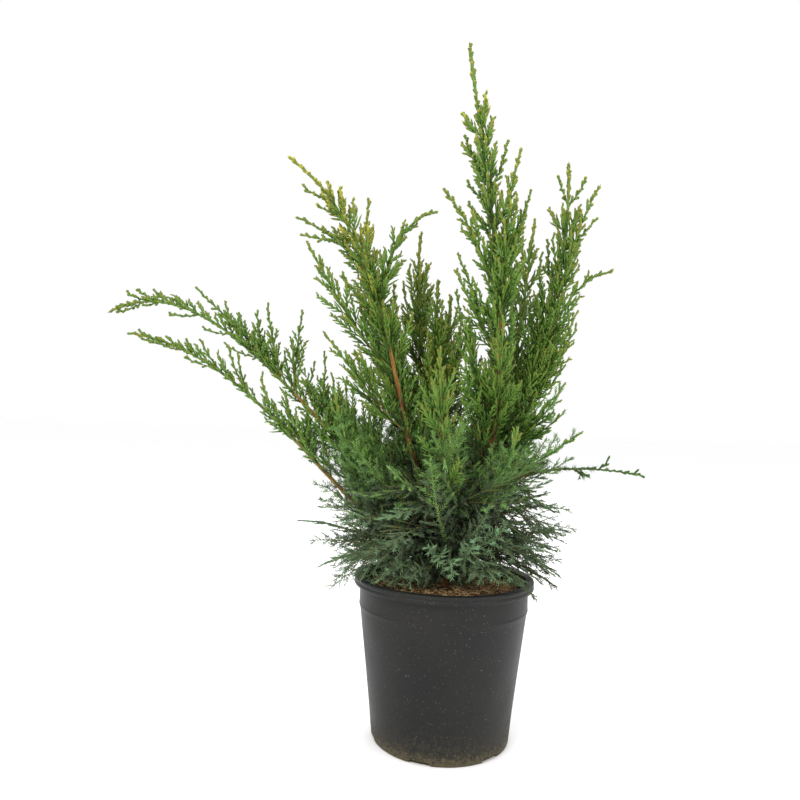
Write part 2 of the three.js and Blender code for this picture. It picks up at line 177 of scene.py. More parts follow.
class Finish:
    """A material being made. add() puts in any kind of node, and surface() ends it."""

    def __init__(self, name):
        self.material = bpy.data.materials.new(name)
        self.material.use_nodes = True
        self.tree = self.material.node_tree
        self.tree.nodes.clear()

    def add(self, kind, inputs=(), out=0, **settings):
        """Adds a node: its settings first, then its sockets' values or links. Returns one of its outputs."""
        node = self.tree.nodes.new("ShaderNode" + kind)
        for key, value in settings.items():
            setattr(node, key, value)
        for key, value in dict(inputs).items():
            if isinstance(value, Value):
                self.tree.links.new(value.socket, node.inputs[key])
            else:
                node.inputs[key].default_value = value
        return Value(self, node.outputs[out])

    def noise(self, points, scale, detail=4, roughness=0.6):
        """Cloudy noise round 0.5; the scale counts its waves in a metre."""
        inputs = {"Vector": points, "Scale": scale, "Detail": detail, "Roughness": roughness}
        return self.add("TexNoise", inputs)

    def mask(self, value, low, high):
        """0 below the low value, 1 above the high one, and smooth between them."""
        inputs = {"Value": value, "From Min": low, "From Max": high}
        return self.add("MapRange", inputs, interpolation_type="SMOOTHSTEP")

    def mix(self, share, first, second):
        """The first colour, with this share of it given over to the second."""
        return self.add("Mix", {0: share, 6: first, 7: second}, out=2, data_type="RGBA")

    def surface(self, **sockets):
        """Ends the material with a shader whose sockets have these values or links."""
        inputs = {name.replace("_", " "): value for name, value in sockets.items()}
        shader = self.add("BsdfPrincipled", inputs)
        output = self.tree.nodes.new("ShaderNodeOutputMaterial")
        self.tree.links.new(shader.socket, output.inputs["Surface"])
        return self.material


def paint(*screen):
    """A colour from three screen values of 0 to 255, each turned from its display curve to linear light."""
    shares = np.array(screen) / 255
    linear = np.where(shares > 0.04045, ((shares + 0.055) / 1.055) ** 2.4, shares / 12.92)
    return (*linear.tolist(), 1.0)


def ramp(values, start, end):
    """0 up to the start, 1 from the end on, and straight in between. The end may be the lower one."""
    return np.clip((values - start) / (end - start), 0, 1)


def pot_wall(height):
    """The outer wall's radius under the nesting step, at a height."""
    return POT_FOOT_RADIUS + (COLLAR_RADIUS - STEP_DEPTH - POT_FOOT_RADIUS) * height / STEP_HEIGHT


def pot_profile():
    """The pot's outline from the middle of its underside, up its outer wall, over the lip and down
    inside to the middle of its floor, as radius and height. Each stretch of it is a pair of the two."""
    bend = np.radians(np.linspace(-90, 0, 7))
    wall = np.concatenate([np.linspace(2.4, 12, 13), np.linspace(15, STEP_HEIGHT - STEP_SOFT, 44)])
    step = np.linspace(0.06, 0.94, 12)
    up_step = STEP_HEIGHT + STEP_SOFT * (2 * step - 1)
    below = pot_wall(up_step)
    ridge = RIDGE_RISE * np.exp(-(((step - 0.84) / 0.12) ** 2))
    lip = np.linspace(0, 1, 33)
    bead = np.abs(np.sin(math.pi * BEADS * lip)) ** 0.6
    close = np.clip(np.minimum(lip, 1 - lip) / 0.08, 0, 1) ** 0.5
    inner = COLLAR_RADIUS - POT_WALL
    down = np.linspace(STEP_HEIGHT - 1.2, POT_FLOOR + 3, 20)
    stretches = [
        ([0.3, 10, 25, 40, 52, 60, 64, 66, 67.4, 68, 68.4, 69, 69.6], 0),
        (POT_FOOT_RADIUS - FOOT_ROUNDING + FOOT_ROUNDING * np.cos(bend),
         FOOT_ROUNDING + FOOT_ROUNDING * np.sin(bend)),
        (pot_wall(wall), wall),
        (below + (COLLAR_RADIUS - below) * (3 * step**2 - 2 * step**3) + ridge, up_step),
        (COLLAR_RADIUS, np.linspace(STEP_HEIGHT + STEP_SOFT, LIP_FOOT - 0.5, 9)),
        (np.linspace(COLLAR_RADIUS + 0.6, LIP_EDGE_RADIUS, 4), LIP_FOOT),
        (LIP_RADIUS - 1.2 + 1.2 * close + BEAD_RISE * bead, LIP_FOOT + (POT_HEIGHT - LIP_FOOT) * lip),
        (np.linspace(LIP_EDGE_RADIUS, inner + 1.6, 5), POT_HEIGHT),
        ([inner + 0.8, inner + 0.2], [POT_HEIGHT - 0.5, POT_HEIGHT - 1.4]),
        (inner, np.linspace(POT_HEIGHT - 3, STEP_HEIGHT + 1.2, 10)),
        (pot_wall(down) - POT_WALL, down),
        (pot_wall(POT_FLOOR) - POT_WALL - np.array([0.8, 2, 4, 7, 12, 30, 69.3 - POT_WALL]), POT_FLOOR),
    ]
    return np.concatenate([np.broadcast_arrays(*stretch) for stretch in stretches], axis=1)


def turns(columns):
    """The headings of a ring's corners, in radians."""
    return 2 * math.pi * np.arange(columns) / columns


def circle(turn):
    """Points on a circle of radius 1, from their headings."""
    return np.stack([np.cos(turn), np.sin(turn)], -1)


pot_radius, pot_height = pot_profile()
turn, radius = np.meshgrid(turns(POT_COLUMNS), pot_radius)
height = np.repeat(pot_height[:, None], POT_COLUMNS, 1)
# A notch lifts the bottom edge, and the floor behind it a little more, so that the wall stays closed
off_notch = (np.degrees(turn) - FIRST_NOTCH + 180 / NOTCHES) % (360 / NOTCHES) - 180 / NOTCHES
in_notch = np.clip((NOTCH_HALF_WIDTH + 0.7 - np.abs(np.radians(off_notch)) * POT_FOOT_RADIUS) / 1.4, 0, 1)
inner_side = np.arange(len(pot_radius))[:, None] > np.argmax(pot_height >= POT_HEIGHT)
edge = np.clip((radius - POT_FOOT_RADIUS + NOTCH_DEPTH) / 0.6, 0, 1)
inner_edge = np.clip((radius - POT_FOOT_RADIUS + 2 * NOTCH_DEPTH) / 3, 0, 1)
lift = in_notch * np.where(inner_side, inner_edge * (NOTCH_HEIGHT + POT_WALL), edge * NOTCH_HEIGHT)
height = np.maximum(height, lift)
# The wall isn't quite round, and has a few shallow knocks: heading in degrees, height, how wide, how deep
above_foot = ramp(height, 0, 30) * ramp(height, STEP_HEIGHT, STEP_HEIGHT - 70)
radius = radius - above_foot * OUT_OF_ROUND * (1 + np.cos(2 * turn + 1.1))
for heading, knock_height, width, depth in KNOCKS:
    off = (np.degrees(turn) - heading + 180) % 360 - 180
    near = (np.radians(off) * KNOCKED_RADIUS / width) ** 2 + ((height - knock_height) / (1.6 * width)) ** 2
    radius = radius - depth * np.exp(-near)
grid = np.stack([radius * np.cos(turn), radius * np.sin(turn), height], -1).reshape(-1, 3)
poles = np.array([[0, 0, 0], [0, 0, POT_FLOOR]])

plastic = Finish("dusty_black_plastic")
place = plastic.add("TexCoord", out=3)
level = plastic.add("SeparateXYZ", {0: place}, out=2)
cloud = plastic.noise(place, 14, 5)
fine = plastic.noise(place, 260, 3)
speck = plastic.mask(plastic.noise(place, 620, 2, 0.5), 0.665, 0.74)
splash = plastic.mask(plastic.noise(place, 240, 5, 0.8) + (0.034 - level) * 7, 0.52, 0.76)
grime = plastic.mask(plastic.noise(place, 300, 5, 0.8) + (0.013 - level) * 16, 0.52, 0.7)
haze = plastic.mask(cloud + fine * 0.25, 0.5, 0.85)
black = plastic.mix(haze * 0.6, paint(24, 24, 24), paint(35, 34, 31))
dusted = plastic.mix(speck * 0.5, black, paint(110, 108, 102))
splashed = plastic.mix(splash * 0.6, dusted, paint(64, 59, 44))
colour = plastic.mix(grime * 0.8, splashed, paint(86, 78, 56))
relief = fine * 0.5 + cloud + grime * 0.6
bump = plastic.add("Bump", {"Height": relief, "Strength": 0.25, "Distance": 0.0006})
POT_FINISH = plastic.surface(
    Base_Color=colour, Roughness=0.42 + haze * 0.12 + splash * 0.25, Normal=bump, Specular_IOR_Level=0.22,
)
pot = make_piece(
    "pot_shell", np.concatenate([grid, poles]), turned_faces(len(pot_radius), POT_COLUMNS), [POT_FINISH],
)
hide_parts("pot")

# The compost: a plug of peaty bark compost that fills the pot to just under its lip, crumbled on top
# and littered with the juniper's own dead needles.
COMPOST_COLUMNS = 200
COMPOST_ROWS = 72
COMPOST_RADIUS = 86.5
COMPOST_TOP = 157
COMPOST_EDGE = 152
COMPOST_FLAT_RADIUS = 48
COMPOST_DEPTH = 15
CRUMB = 1.3
LITTER_COUNT = 5200
LITTER_LENGTH = (3, 8.5)
LITTER_WIDTH = 0.55
LITTER_THICK = 0.5
LITTER_PITCH = 0.22
LITTER_PILE = 1.4


def compost_height(places):
    """The compost's top over a point: a flat crown, a slope to the edge, and waves of two sizes."""
    distance = np.linalg.norm(places, axis=-1)
    slope = (COMPOST_EDGE - COMPOST_TOP) * ramp(distance, COMPOST_FLAT_RADIUS, COMPOST_RADIUS)
    crumbs = CRUMB * waves(places, 16, 31) + 0.7 * CRUMB * np.abs(waves(places, 5, 32))
    return COMPOST_TOP - 1 + slope + crumbs


share = np.linspace(0.01, 1, COMPOST_ROWS)
spot = COMPOST_RADIUS * share[::-1, None, None] * circle(turns(COMPOST_COLUMNS))
top = np.concatenate([spot, compost_height(spot)[..., None]], -1)
skin = np.concatenate([top[0, :, :2], np.full((COMPOST_COLUMNS, 1), COMPOST_EDGE - COMPOST_DEPTH)], -1)
poles = np.array([[0, 0, COMPOST_EDGE - COMPOST_DEPTH], [0, 0, float(compost_height(np.zeros((1, 2)))[0])]])
peat = Finish("crumbled_compost")
place = peat.add("TexCoord", out=3)
clod = peat.noise(place, 180, 6, 0.7)
chip = peat.noise(place, 600, 3, 0.6)
brown = peat.mix(peat.mask(clod, 0.4, 0.62), paint(52, 39, 26), paint(128, 99, 67))
colour = peat.mix(peat.mask(chip, 0.58, 0.7), brown, paint(134, 104, 66))
bump = peat.add("Bump", {"Height": clod + chip * 0.6, "Strength": 0.8, "Distance": 0.0015})
COMPOST_FINISH = peat.surface(Base_Color=colour, Roughness=0.95, Normal=bump, Specular_IOR_Level=0.2)
places = np.concatenate([skin[None], top]).reshape(-1, 3)
compost = make_piece(
    "compost_bed", np.concatenate([places, poles]), turned_faces(COMPOST_ROWS + 1, COMPOST_COLUMNS),
    [COMPOST_FINISH],
)
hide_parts("compost")


def unit(vectors):
    """Each vector over its own length."""
    return vectors / np.linalg.norm(vectors, axis=-1, keepdims=True)


def plain_tones(tones, roughness, gloss=0.22):
    """A list of plain finishes, one for each name and its three screen values."""
    return [
        Finish(name).surface(Base_Color=paint(*screen), Roughness=roughness, Specular_IOR_Level=gloss)
        for name, screen in tones.items()
    ]


def slivers(roots, tips, side, thick):
    """Needles with four faces each: a base of two corners, a third corner lifted off it, and the tip.
    side is half the width of the base, as a vector, and thick is the third corner's lift."""
    count = len(roots)
    places = np.stack([roots + side, roots - side, roots + thick, tips], 1)
    out = np.einsum("ij,ij->i", np.cross(tips - roots, side), thick) < 0
    one = np.array([[0, 1, 2], [0, 3, 1], [1, 3, 2], [2, 3, 0]])
    faces = np.where(out[:, None, None], one[:, ::-1], one) + 4 * np.arange(count)[:, None, None]
    return places.reshape(-1, 3), faces.reshape(-1, 3)


draw = np.random.default_rng(5)
heading = draw.uniform(0, 2 * math.pi, LITTER_COUNT)
away = COMPOST_RADIUS * draw.uniform(0, 1, LITTER_COUNT) ** 0.5 * 0.985
spot = away[:, None] * circle(heading)
pile = draw.uniform(0, LITTER_PILE, LITTER_COUNT)
root = np.concatenate([spot, (compost_height(spot) + pile)[:, None]], -1)
lie = draw.uniform(0, 2 * math.pi, LITTER_COUNT)
pitch = draw.normal(0, LITTER_PITCH, LITTER_COUNT)
reach = draw.uniform(*LITTER_LENGTH, LITTER_COUNT)[:, None]
along = np.concatenate([circle(lie) * np.cos(pitch)[:, None], np.sin(pitch)[:, None]], -1)
tip = root + reach * along
inside = np.linalg.norm(tip[:, :2], axis=1) < COMPOST_RADIUS - 0.6
side = LITTER_WIDTH * unit(np.cross(along, [0, 0, 1]))
lift = np.broadcast_to([0, 0, LITTER_THICK], side.shape)
places, faces = slivers(root[inside], tip[inside], side[inside], lift[inside])
litter_tones = plain_tones(dict(
    dead_needle_dark=(98, 72, 46), dead_needle_brown=(146, 112, 73), dead_needle_tan=(182, 148, 102),
    dead_needle_gold=(204, 174, 126),
), 0.8, gloss=0.25)
dealt = np.repeat(np.minimum(draw.integers(0, 5, inside.sum()), 3), 4)
litter = make_piece("needle_litter", places, [faces], litter_tones, dealt, smooth=False)

# The trunk and boughs: pale sapwood under thin red-brown bark that lifts in fibrous strips. The trunk
# flares on the compost and forks low down, and each bough is one tapering limb. Its bark is paler where
# it is younger, and ends where the limb is still green.
TRUNK_FOOT = np.array([0.0, 0.0, 157.3])
TRUNK_TOP = np.array([4.0, 0.0, 184.3])
TRUNK_RADIUS = 8
FLARE_RADIUS = 15
FLARE_POWER = 4
LIMB_SWELL = 0.8
LIMB_TAPER = 1.9
TIP_RADIUS = 0.6
LIMB_COLUMNS = 22
RING_STEP = 1.7
STRIP_DEPTH = 0.11
STRIP_WIDTH = 5.5
STRIP_STRETCH = 0.09
KNOT_RISE = 0.16
KNOT_REACH = 26
GREENING = 0.09
BOUGHS = {
    "leader_left": dict(
        on="trunk", at=0.96, tip=(-179, -30, 609), lean=(28, 56), radius=3.8, wood=0.6, brown=0.5,
        first=0.44, quiet=58, light=2.7),
    "leader_right": dict(
        on="trunk", at=0.62, tip=(11, -10, 745), toward=(1, 0), lean=(29, -8), radius=4.2, wood=0.5,
        first=0.36, quiet=86, light=1.2),
    "arch_left_low": dict(
        on="trunk", at=0.45, tip=(-344, -40, 414), lean=(65, 85), radius=3, wood=0.58, brown=0.42,
        first=0.38, quiet=16, light=1.7),
    "arch_left_high": dict(
        on="leader_left", at=0.07, tip=(-404, 30, 446), lean=(58, 118), radius=3, wood=0.6, brown=0.42,
        first=0.36, quiet=14, light=1.7),
    "leader_centre": dict(
        on="leader_right", at=0.05, tip=(-38, 55, 553), toward=(-1, 3), lean=(40, -20), radius=2.8,
        wood=0.42, light=2.0),
    "stem_left_back": dict(
        on="leader_left", at=0.12, tip=(-104, 75, 600), lean=(16, -8), radius=2.6, wood=0.45),
    "stem_right": dict(
        on="leader_right", at=0.09, tip=(130, 45, 635), lean=(30, -3), radius=3.3, wood=0.5, first=0.3,
        quiet=64, light=1.6),
    "stem_right_back": dict(
        on="leader_right", at=0.16, tip=(101, 105, 586), lean=(42, 16), radius=2.6, wood=0.42),
    "stem_back": dict(on="trunk", at=0.8, tip=(-2, 165, 504), lean=(34, 14), radius=2.8, wood=0.35),
    "arch_back_left": dict(
        on="leader_left", at=0.04, tip=(-199, 150, 381), lean=(53, 66), radius=2.6, wood=0.35),
    "arch_right_low": dict(
        on="leader_right", at=0.13, tip=(206, -10, 280), lean=(40, 100), radius=1.2, wood=0.4, quiet=90,
        light=-1.0, full=0.2),
}


def limb_curve(foot, tip, lean, toward=None):
    """A limb's centre line as a cubic's four points. It sets out and arrives leaning from upright by two
    angles, and each pull is as long as the limb; the middle points lie a third of a pull from the ends."""
    foot, tip = np.array(foot, float), np.array(tip, float)
    flat = unit(np.array(toward if toward else (tip - foot)[:2], float))
    angles = np.radians(lean)
    pulls = np.concatenate([np.sin(angles)[:, None] * flat, np.cos(angles)[:, None]], 1)
    pulls *= np.linalg.norm(tip - foot)
    return np.array([foot, foot + pulls[0] / 3, tip - pulls[1] / 3, tip])


def along_curves(curves, share):
    """The places and unit headings at shares of cubics: their four points, each by its Bernstein weight,
    and the slope of that sum. share has a row for each curve."""
    s = share[..., None]
    r = 1 - s
    first, second, third, last = (curves[:, None, k] for k in range(4))
    places = r**3 * first + 3 * r * r * s * second + 3 * r * s * s * third + s**3 * last
    slopes = r * r * (second - first) + 2 * r * s * (third - second) + s * s * (last - third)
    return places, unit(slopes)


def even_shares(curve, wished):
    """The cubic's own shares at which the wished shares of its length are reached, and its length."""
    fine = np.linspace(0, 1, 257)
    places = along_curves(curve[None], fine[None])[0][0]
    passed = np.concatenate([[0], np.cumsum(np.linalg.norm(np.diff(places, axis=0), axis=1))])
    return np.interp(np.asarray(wished) * passed[-1], passed, fine), passed[-1]


def aside_of(headings):
    """For each heading one that lies well apart from it: along y, or along z for those near to y."""
    return np.where(np.abs(headings[:, 1:2]) < 0.8, [[0.0, 1.0, 0.0]], [[0.0, 0.0, 1.0]])


def tube_grid(curves, share, radius, columns, twist=0.0):
    """Rings of corners round cubics: at each share, the place plus the radius times a circle square to
    the heading. Each ring is turned from the one before by the twist."""
    places, heading = along_curves(curves, share)
    chord = unit(curves[:, 3] - curves[:, 0])
    across = unit(np.cross(heading, aside_of(chord)[:, None]))
    upright = np.cross(heading, across)
    turn = turns(columns) + twist * np.arange(share.shape[1])[:, None]
    ring = across[:, :, None] * np.cos(turn)[..., None] + upright[:, :, None] * np.sin(turn)[..., None]
    return places[:, :, None] + radius[..., None] * ring


def trunk_radius(share):
    """The trunk's radius: a flare that fades as a power of what is left, a slow taper, a rounded top."""
    above = np.clip(1.15 * (1 - share), 0, 1)
    flared = TRUNK_RADIUS + (FLARE_RADIUS - TRUNK_RADIUS) * above**FLARE_POWER - share
    return flared * np.clip((1 - share) / 0.1, 0, 1) ** 0.5


def limb_radius(share, foot_radius):
    """A limb's radius: a swollen foot that falls as a power of what is left of the limb, plus its tip's."""
    return (foot_radius + LIMB_SWELL) * (1 - share) ** LIMB_TAPER + TIP_RADIUS


def make_limb(name, curve, radius_at, seed, end=1.0, brown=1.0):
    """A limb with bark in relief, up to the end share of its length: a tube whose radius rises and falls in
    strips, which are folded waves far longer along the limb than wide, and in knots. The third number of
    the grain is the length passed since the share at which the brown bark ends."""
    length = even_shares(curve, [1.0])[1]
    even = np.linspace(0, end, int(length * end / RING_STEP))
    share = even_shares(curve, even)[0]
    radius = radius_at(even)
    girth = radius[:, None, None] * circle(turns(LIMB_COLUMNS))
    height = np.broadcast_to(((even - brown) * length)[:, None, None], (len(even), LIMB_COLUMNS, 1))
    grain = np.concatenate([girth, height], -1)
    strips = np.abs(waves(grain * [1, 1, STRIP_STRETCH], STRIP_WIDTH, seed))
    knots = np.clip(waves(grain * [1, 1, 0.8], KNOT_REACH, seed + 1) - 0.9, 0, 1)
    relief = 1 + STRIP_DEPTH * (strips - 0.7) + KNOT_RISE * knots
    tube = tube_grid(curve[None], share[None], (radius[:, None] * relief)[None], LIMB_COLUMNS)[0]
    ends = along_curves(curve[None], share[None, [0, -1]])[0][0]
    return make_piece(
        name, np.concatenate([tube.reshape(-1, 3), ends]), turned_faces(len(even), LIMB_COLUMNS),
        [BARK_FINISH], grain=np.concatenate([grain.reshape(-1, 3), grain[[0, -1], 0]]),
    )


bark = Finish("fibrous_red_bark")
grain = bark.add("Attribute", out=1, attribute_name="grain")
long_grain = bark.add("VectorMath", {0: grain, 1: (1, 1, 0.1)}, operation="MULTIPLY")
strip = bark.noise(long_grain, 420, 4, 0.65)
flake = bark.noise(long_grain, 900, 3, 0.6)
weather = bark.noise(grain, 26, 3)
old = bark.mix(bark.mask(strip, 0.38, 0.62), paint(64, 40, 21), paint(128, 83, 42))
worn = bark.mix(bark.mask(weather, 0.5, 0.74) * 0.5, old, paint(112, 86, 58))
passed = bark.add("SeparateXYZ", {0: grain}, out=2)
fresh = bark.mix(bark.mask(strip, 0.36, 0.66), paint(114, 78, 35), paint(160, 116, 54))
aged = bark.mix(bark.mask(passed + weather * 0.05, -0.035, 0.015), worn, fresh)
flaked = bark.mix(bark.mask(flake, 0.64, 0.76) * 0.4, aged, paint(162, 118, 64))
colour = bark.mix(bark.mask(passed + weather * 0.03, 0.0, 0.04), flaked, paint(112, 118, 54))
bump = bark.add("Bump", {"Height": strip + flake * 0.5, "Strength": 0.7, "Distance": 0.0008})
BARK_FINISH = bark.surface(Base_Color=colour, Roughness=0.8, Normal=bump, Specular_IOR_Level=0.3)


def up_trunk(shares):
    """Places at shares of the trunk's height, under the compost where a share is below 0."""
    return TRUNK_FOOT + shares[:, None] * (TRUNK_TOP - TRUNK_FOOT)


trunk = make_limb("trunk_bark", up_trunk(np.linspace(-0.15, 1, 4)), trunk_radius, 400, brown=5.0)
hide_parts("trunk")
limb_curves = {"trunk": up_trunk(np.linspace(0, 1, 4))}


def place_on(limb, at):
    """The place at a share of a limb's length."""
    curve = limb_curves[limb]
    return along_curves(curve[None], even_shares(curve, [at])[0][None])[0][0, 0]


for number, (name, bough) in enumerate(BOUGHS.items()):
    foot = place_on(bough["on"], bough["at"])
    limb_curves[name] = limb_curve(foot, bough["tip"], bough["lean"], bough.get("toward"))
    limb = make_limb(
        name + "_bark", limb_curves[name], lambda share: limb_radius(share, bough["radius"]),
        410 + 7 * number, bough["wood"] + GREENING, bough.get("brown", bough["wood"]),
    )
    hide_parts(name)

# The foliage of the crown: every bough ends in a plume and carries side plumes and small plumes, each a
# thin stem set round with twigs at the golden angle. High and far out the twigs bear cords of scale leaves
# with yellow-green ends; low down they bear soft green needles. Shoots and needles stand in two ranks.
GOLDEN_ANGLE = 137.508
TWIGS = dict(
    spacing=4.3, span=(0.03, 0.985), angle=36, play=26, reach=(11, 48), part=0.58, fall=0.6, curl=0.35,
    lift=0.12, turn=GOLDEN_ANGLE, stray=0, low=0.55,
)
FILLS = dict(
    TWIGS, spacing=4.7, span=(0.06, 1), angle=40, play=34, reach=(60, 130), part=0.5, fall=0.35, curl=0.5,
    lift=0.35, low=0,
)
SHOOTS = dict(
    spacing=3.7, span=(0.1, 0.95), angle=30, play=20, reach=(7, 26), part=0.64, fall=0.5, curl=0.2,
    lift=0.04, turn=180, stray=60, low=0,
)
SPRIGS = dict(
    SHOOTS, spacing=6.6, span=(0.12, 0.95), angle=38, play=16, reach=(8, 26), part=0.55, fall=0.4,
    curl=0.3, stray=36,
)
NEEDLE_SPACING = 3.4
NEEDLE_LENGTH = 6.6
NEEDLE_WIDTH = 1.5
NEEDLE_LEAN = (48, 26)
NEEDLE_SIZE = 0.86
NEEDLE_FACE_TONES = (0.0, 1.2, -0.2, -0.2)
FOOT_SHADE = -0.4
TIP_TONE = 1.3
# A side plume: the share of its bough's length where it leaves, its tip, its lean from upright at its foot
# and at its tip, and, where it doesn't set out straight towards its tip, the heading in which it does
SIDE_PLUMES = {
    "arch_left_low": dict(
        inner=(0.5, (-199, -30, 373), (37, 8)), front=(0.26, (-114, -60, 356), (11, 14)),
    ),
    "arch_left_high": dict(
        outer=(0.58, (-299, 38, 479), (23, 42)), middle=(0.5, (-209, 20, 457), (9, 8)),
        inner=(0.45, (-174, 45, 458), (0, 6), (1, 0.2)),
    ),
    "leader_left": dict(
        low=(0.3, (-127, -50, 414), (58, 45)), outer=(0.44, (-152, -50, 513), (53, 32)),
        side=(0.58, (-172, 0, 552), (12, 66)), inner=(0.59, (-19, -20, 553), (2, 80), (1, 0.1)),
        skirt=(0.1, (-94, -70, 309), (66, 34)),
    ),
    "leader_centre": dict(front=(0.36, (-16, 15, 490), (12, 6), (0.4, -1))),
    "leader_right": dict(
        inner=(0.49, (-11, -30, 573), (14, 43), (-1, -0.2)), low=(0.4, (4, -30, 491), (26, 20), (-1, -0.4)),
        outer=(0.49, (77, -20, 558), (12, 22), (1, -0.2)), front=(0.46, (67, -40, 612), (8, 20), (1, -0.8)),
        base=(0.24, (52, -55, 435), (26, 2), (0.3, -1)),
        skirt_high=(0.07, (-9, -130, 393), (52, 4), (-0.3, -1)),
        skirt_middle=(0.03, (-16, -105, 298), (66, 24), (-0.3, -1)),
        skirt_right=(0.11, (65, -90, 325), (64, 14), (0.3, -1)),
    ),
    "stem_right": dict(
        high=(0.49, (166, 40, 607), (20, 30)), middle=(0.46, (169, -10, 493), (24, 98)),
        low=(0.36, (134, 0, 452), (50, 22)), base=(0.2, (114, -45, 371), (56, 30)),
        skirt=(0.1, (128, -60, 322), (66, 56)),
    ),
    "stem_back": dict(side=(0.3, (78, 130, 451), (40, 18))),
}
SIDE_LIGHTS = {"plume_stem_right_base": 1.2, "plume_stem_right_skirt": 0.8}
# A small plume: the share of its bough's length where it leaves, and its tip
SMALL_PLUMES = {
    "leader_centre": [
        (0.68, -30, 50, 515), (0.47, 0, 30, 475), (0.66, -50, 40, 510), (0.56, -55, 20, 485),
        (0.4, 5, 20, 430), (0.36, 10, 40, 410), (0.5, -15, 30, 490), (0.42, -10, 10, 465),
        (0.34, 12, 5, 450), (0.3, -25, 0, 430),
    ],
    "stem_left_back": [(0.38, -65, 20, 485)],
    "leader_left": [
        (0.52, -105, -30, 470), (0.56, -115, -40, 480), (0.38, -100, -40, 400), (0.32, -95, 10, 380),
        (0.8, -125, -15, 575), (0.76, -165, -10, 530), (0.86, -160, -30, 575), (0.82, -145, -35, 555),
    ],
    "arch_left_high": [
        (0.37, -140, 10, 405), (0.32, -125, -10, 375), (0.42, -155, 35, 395), (0.25, -110, -15, 375),
        (0.61, -265, 35, 465), (0.57, -245, 30, 450), (0.5, -225, 10, 420), (0.43, -190, 30, 405),
        (0.87, -380, 30, 470), (0.84, -370, 30, 475), (0.82, -350, 35, 475), (0.78, -325, 30, 465),
        (0.75, -325, 20, 445), (0.66, -285, 25, 430), (0.57, -255, 20, 410), (0.93, -390, 28, 455),
        (0.9, -393, 30, 447), (0.86, -360, 26, 455), (0.79, -340, 34, 468),
    ],
    "arch_left_low": [
        (0.73, -265, -35, 410), (0.66, -230, -45, 400), (0.47, -175, -20, 355), (0.85, -310, -40, 405),
        (0.81, -280, -35, 410), (0.77, -280, -40, 390), (0.69, -240, -45, 390), (0.65, -225, -30, 395),
        (0.9, -330, -40, 416), (0.88, -325, -38, 408), (0.83, -300, -36, 410),
    ],
    "leader_right": [
        (0.31, 5, 0, 475), (0.29, 15, -30, 435), (0.45, 5, -25, 510), (0.73, 10, 0, 645),
        (0.64, 15, -15, 565), (0.69, 15, 10, 595), (0.71, 55, -5, 635), (0.58, 80, -25, 575),
        (0.54, 80, 15, 570), (0.28, 20, -10, 410), (0.24, 25, 15, 425), (0.2, 15, -40, 400),
    ],
    "stem_right_back": [(0.73, 85, 90, 555), (0.6, 75, 80, 515)],
    "arch_right_low": [
        (0.74, 167, -10, 293), (0.64, 142, -15, 280), (0.6, 150, 0, 278), (0.93, 198, -10, 285),
    ],
    "stem_right": [
        (0.76, 160, 35, 565), (0.62, 110, 55, 545), (0.68, 110, 20, 540), (0.54, 100, 35, 525),
        (0.67, 140, 20, 525), (0.41, 135, 0, 435), (0.38, 125, -15, 415), (0.31, 125, 15, 395),
        (0.25, 105, -20, 355), (0.21, 115, -30, 340), (0.88, 150, 45, 615), (0.89, 120, 45, 615),
    ],
}
SMALL_SPREAD = 12
PLAIN_HABIT = dict(full=1.0, quiet=0.0, shed=0.0)
LOW_CROWN = (480, 340)


def chance(seed, count):
    """A repeatable number from 0 to 1: what is left after the point of a large sine of the two counts."""
    wave = np.sin(np.asarray(seed) * 127.1 + np.asarray(count) * 311.7) * 43758.5453
    return wave - np.floor(wave)


def leaving(heading, turn, angle, aside):
    """The headings that leave a limb at an angle, turned round it: the limb's heading by the angle's cosine,
    plus two headings square to it, the first also to the aside, by the angle's sine and the turn's cosine
    and sine."""
    first = unit(np.cross(heading, aside))
    second = unit(np.cross(heading, first))
    turn, angle = np.radians(turn)[:, None], np.radians(angle)[:, None]
    return heading * np.cos(angle) + np.sin(angle) * (first * np.cos(turn) + second * np.sin(turn))


def curve_lengths(curves):
    """The length of each cubic, as the sum of 16 straight stretches."""
    places = along_curves(curves, np.broadcast_to(np.linspace(0, 1, 17), (len(curves), 17)))[0]
    return np.linalg.norm(np.diff(places, axis=1), axis=2).sum(1)


def counted(counts):
    """For counts of children, each child's parent and its own number among its parent's."""
    owner = np.repeat(np.arange(len(counts)), counts)
    return owner, np.arange(len(owner)) - np.repeat(np.cumsum(counts) - counts, counts)


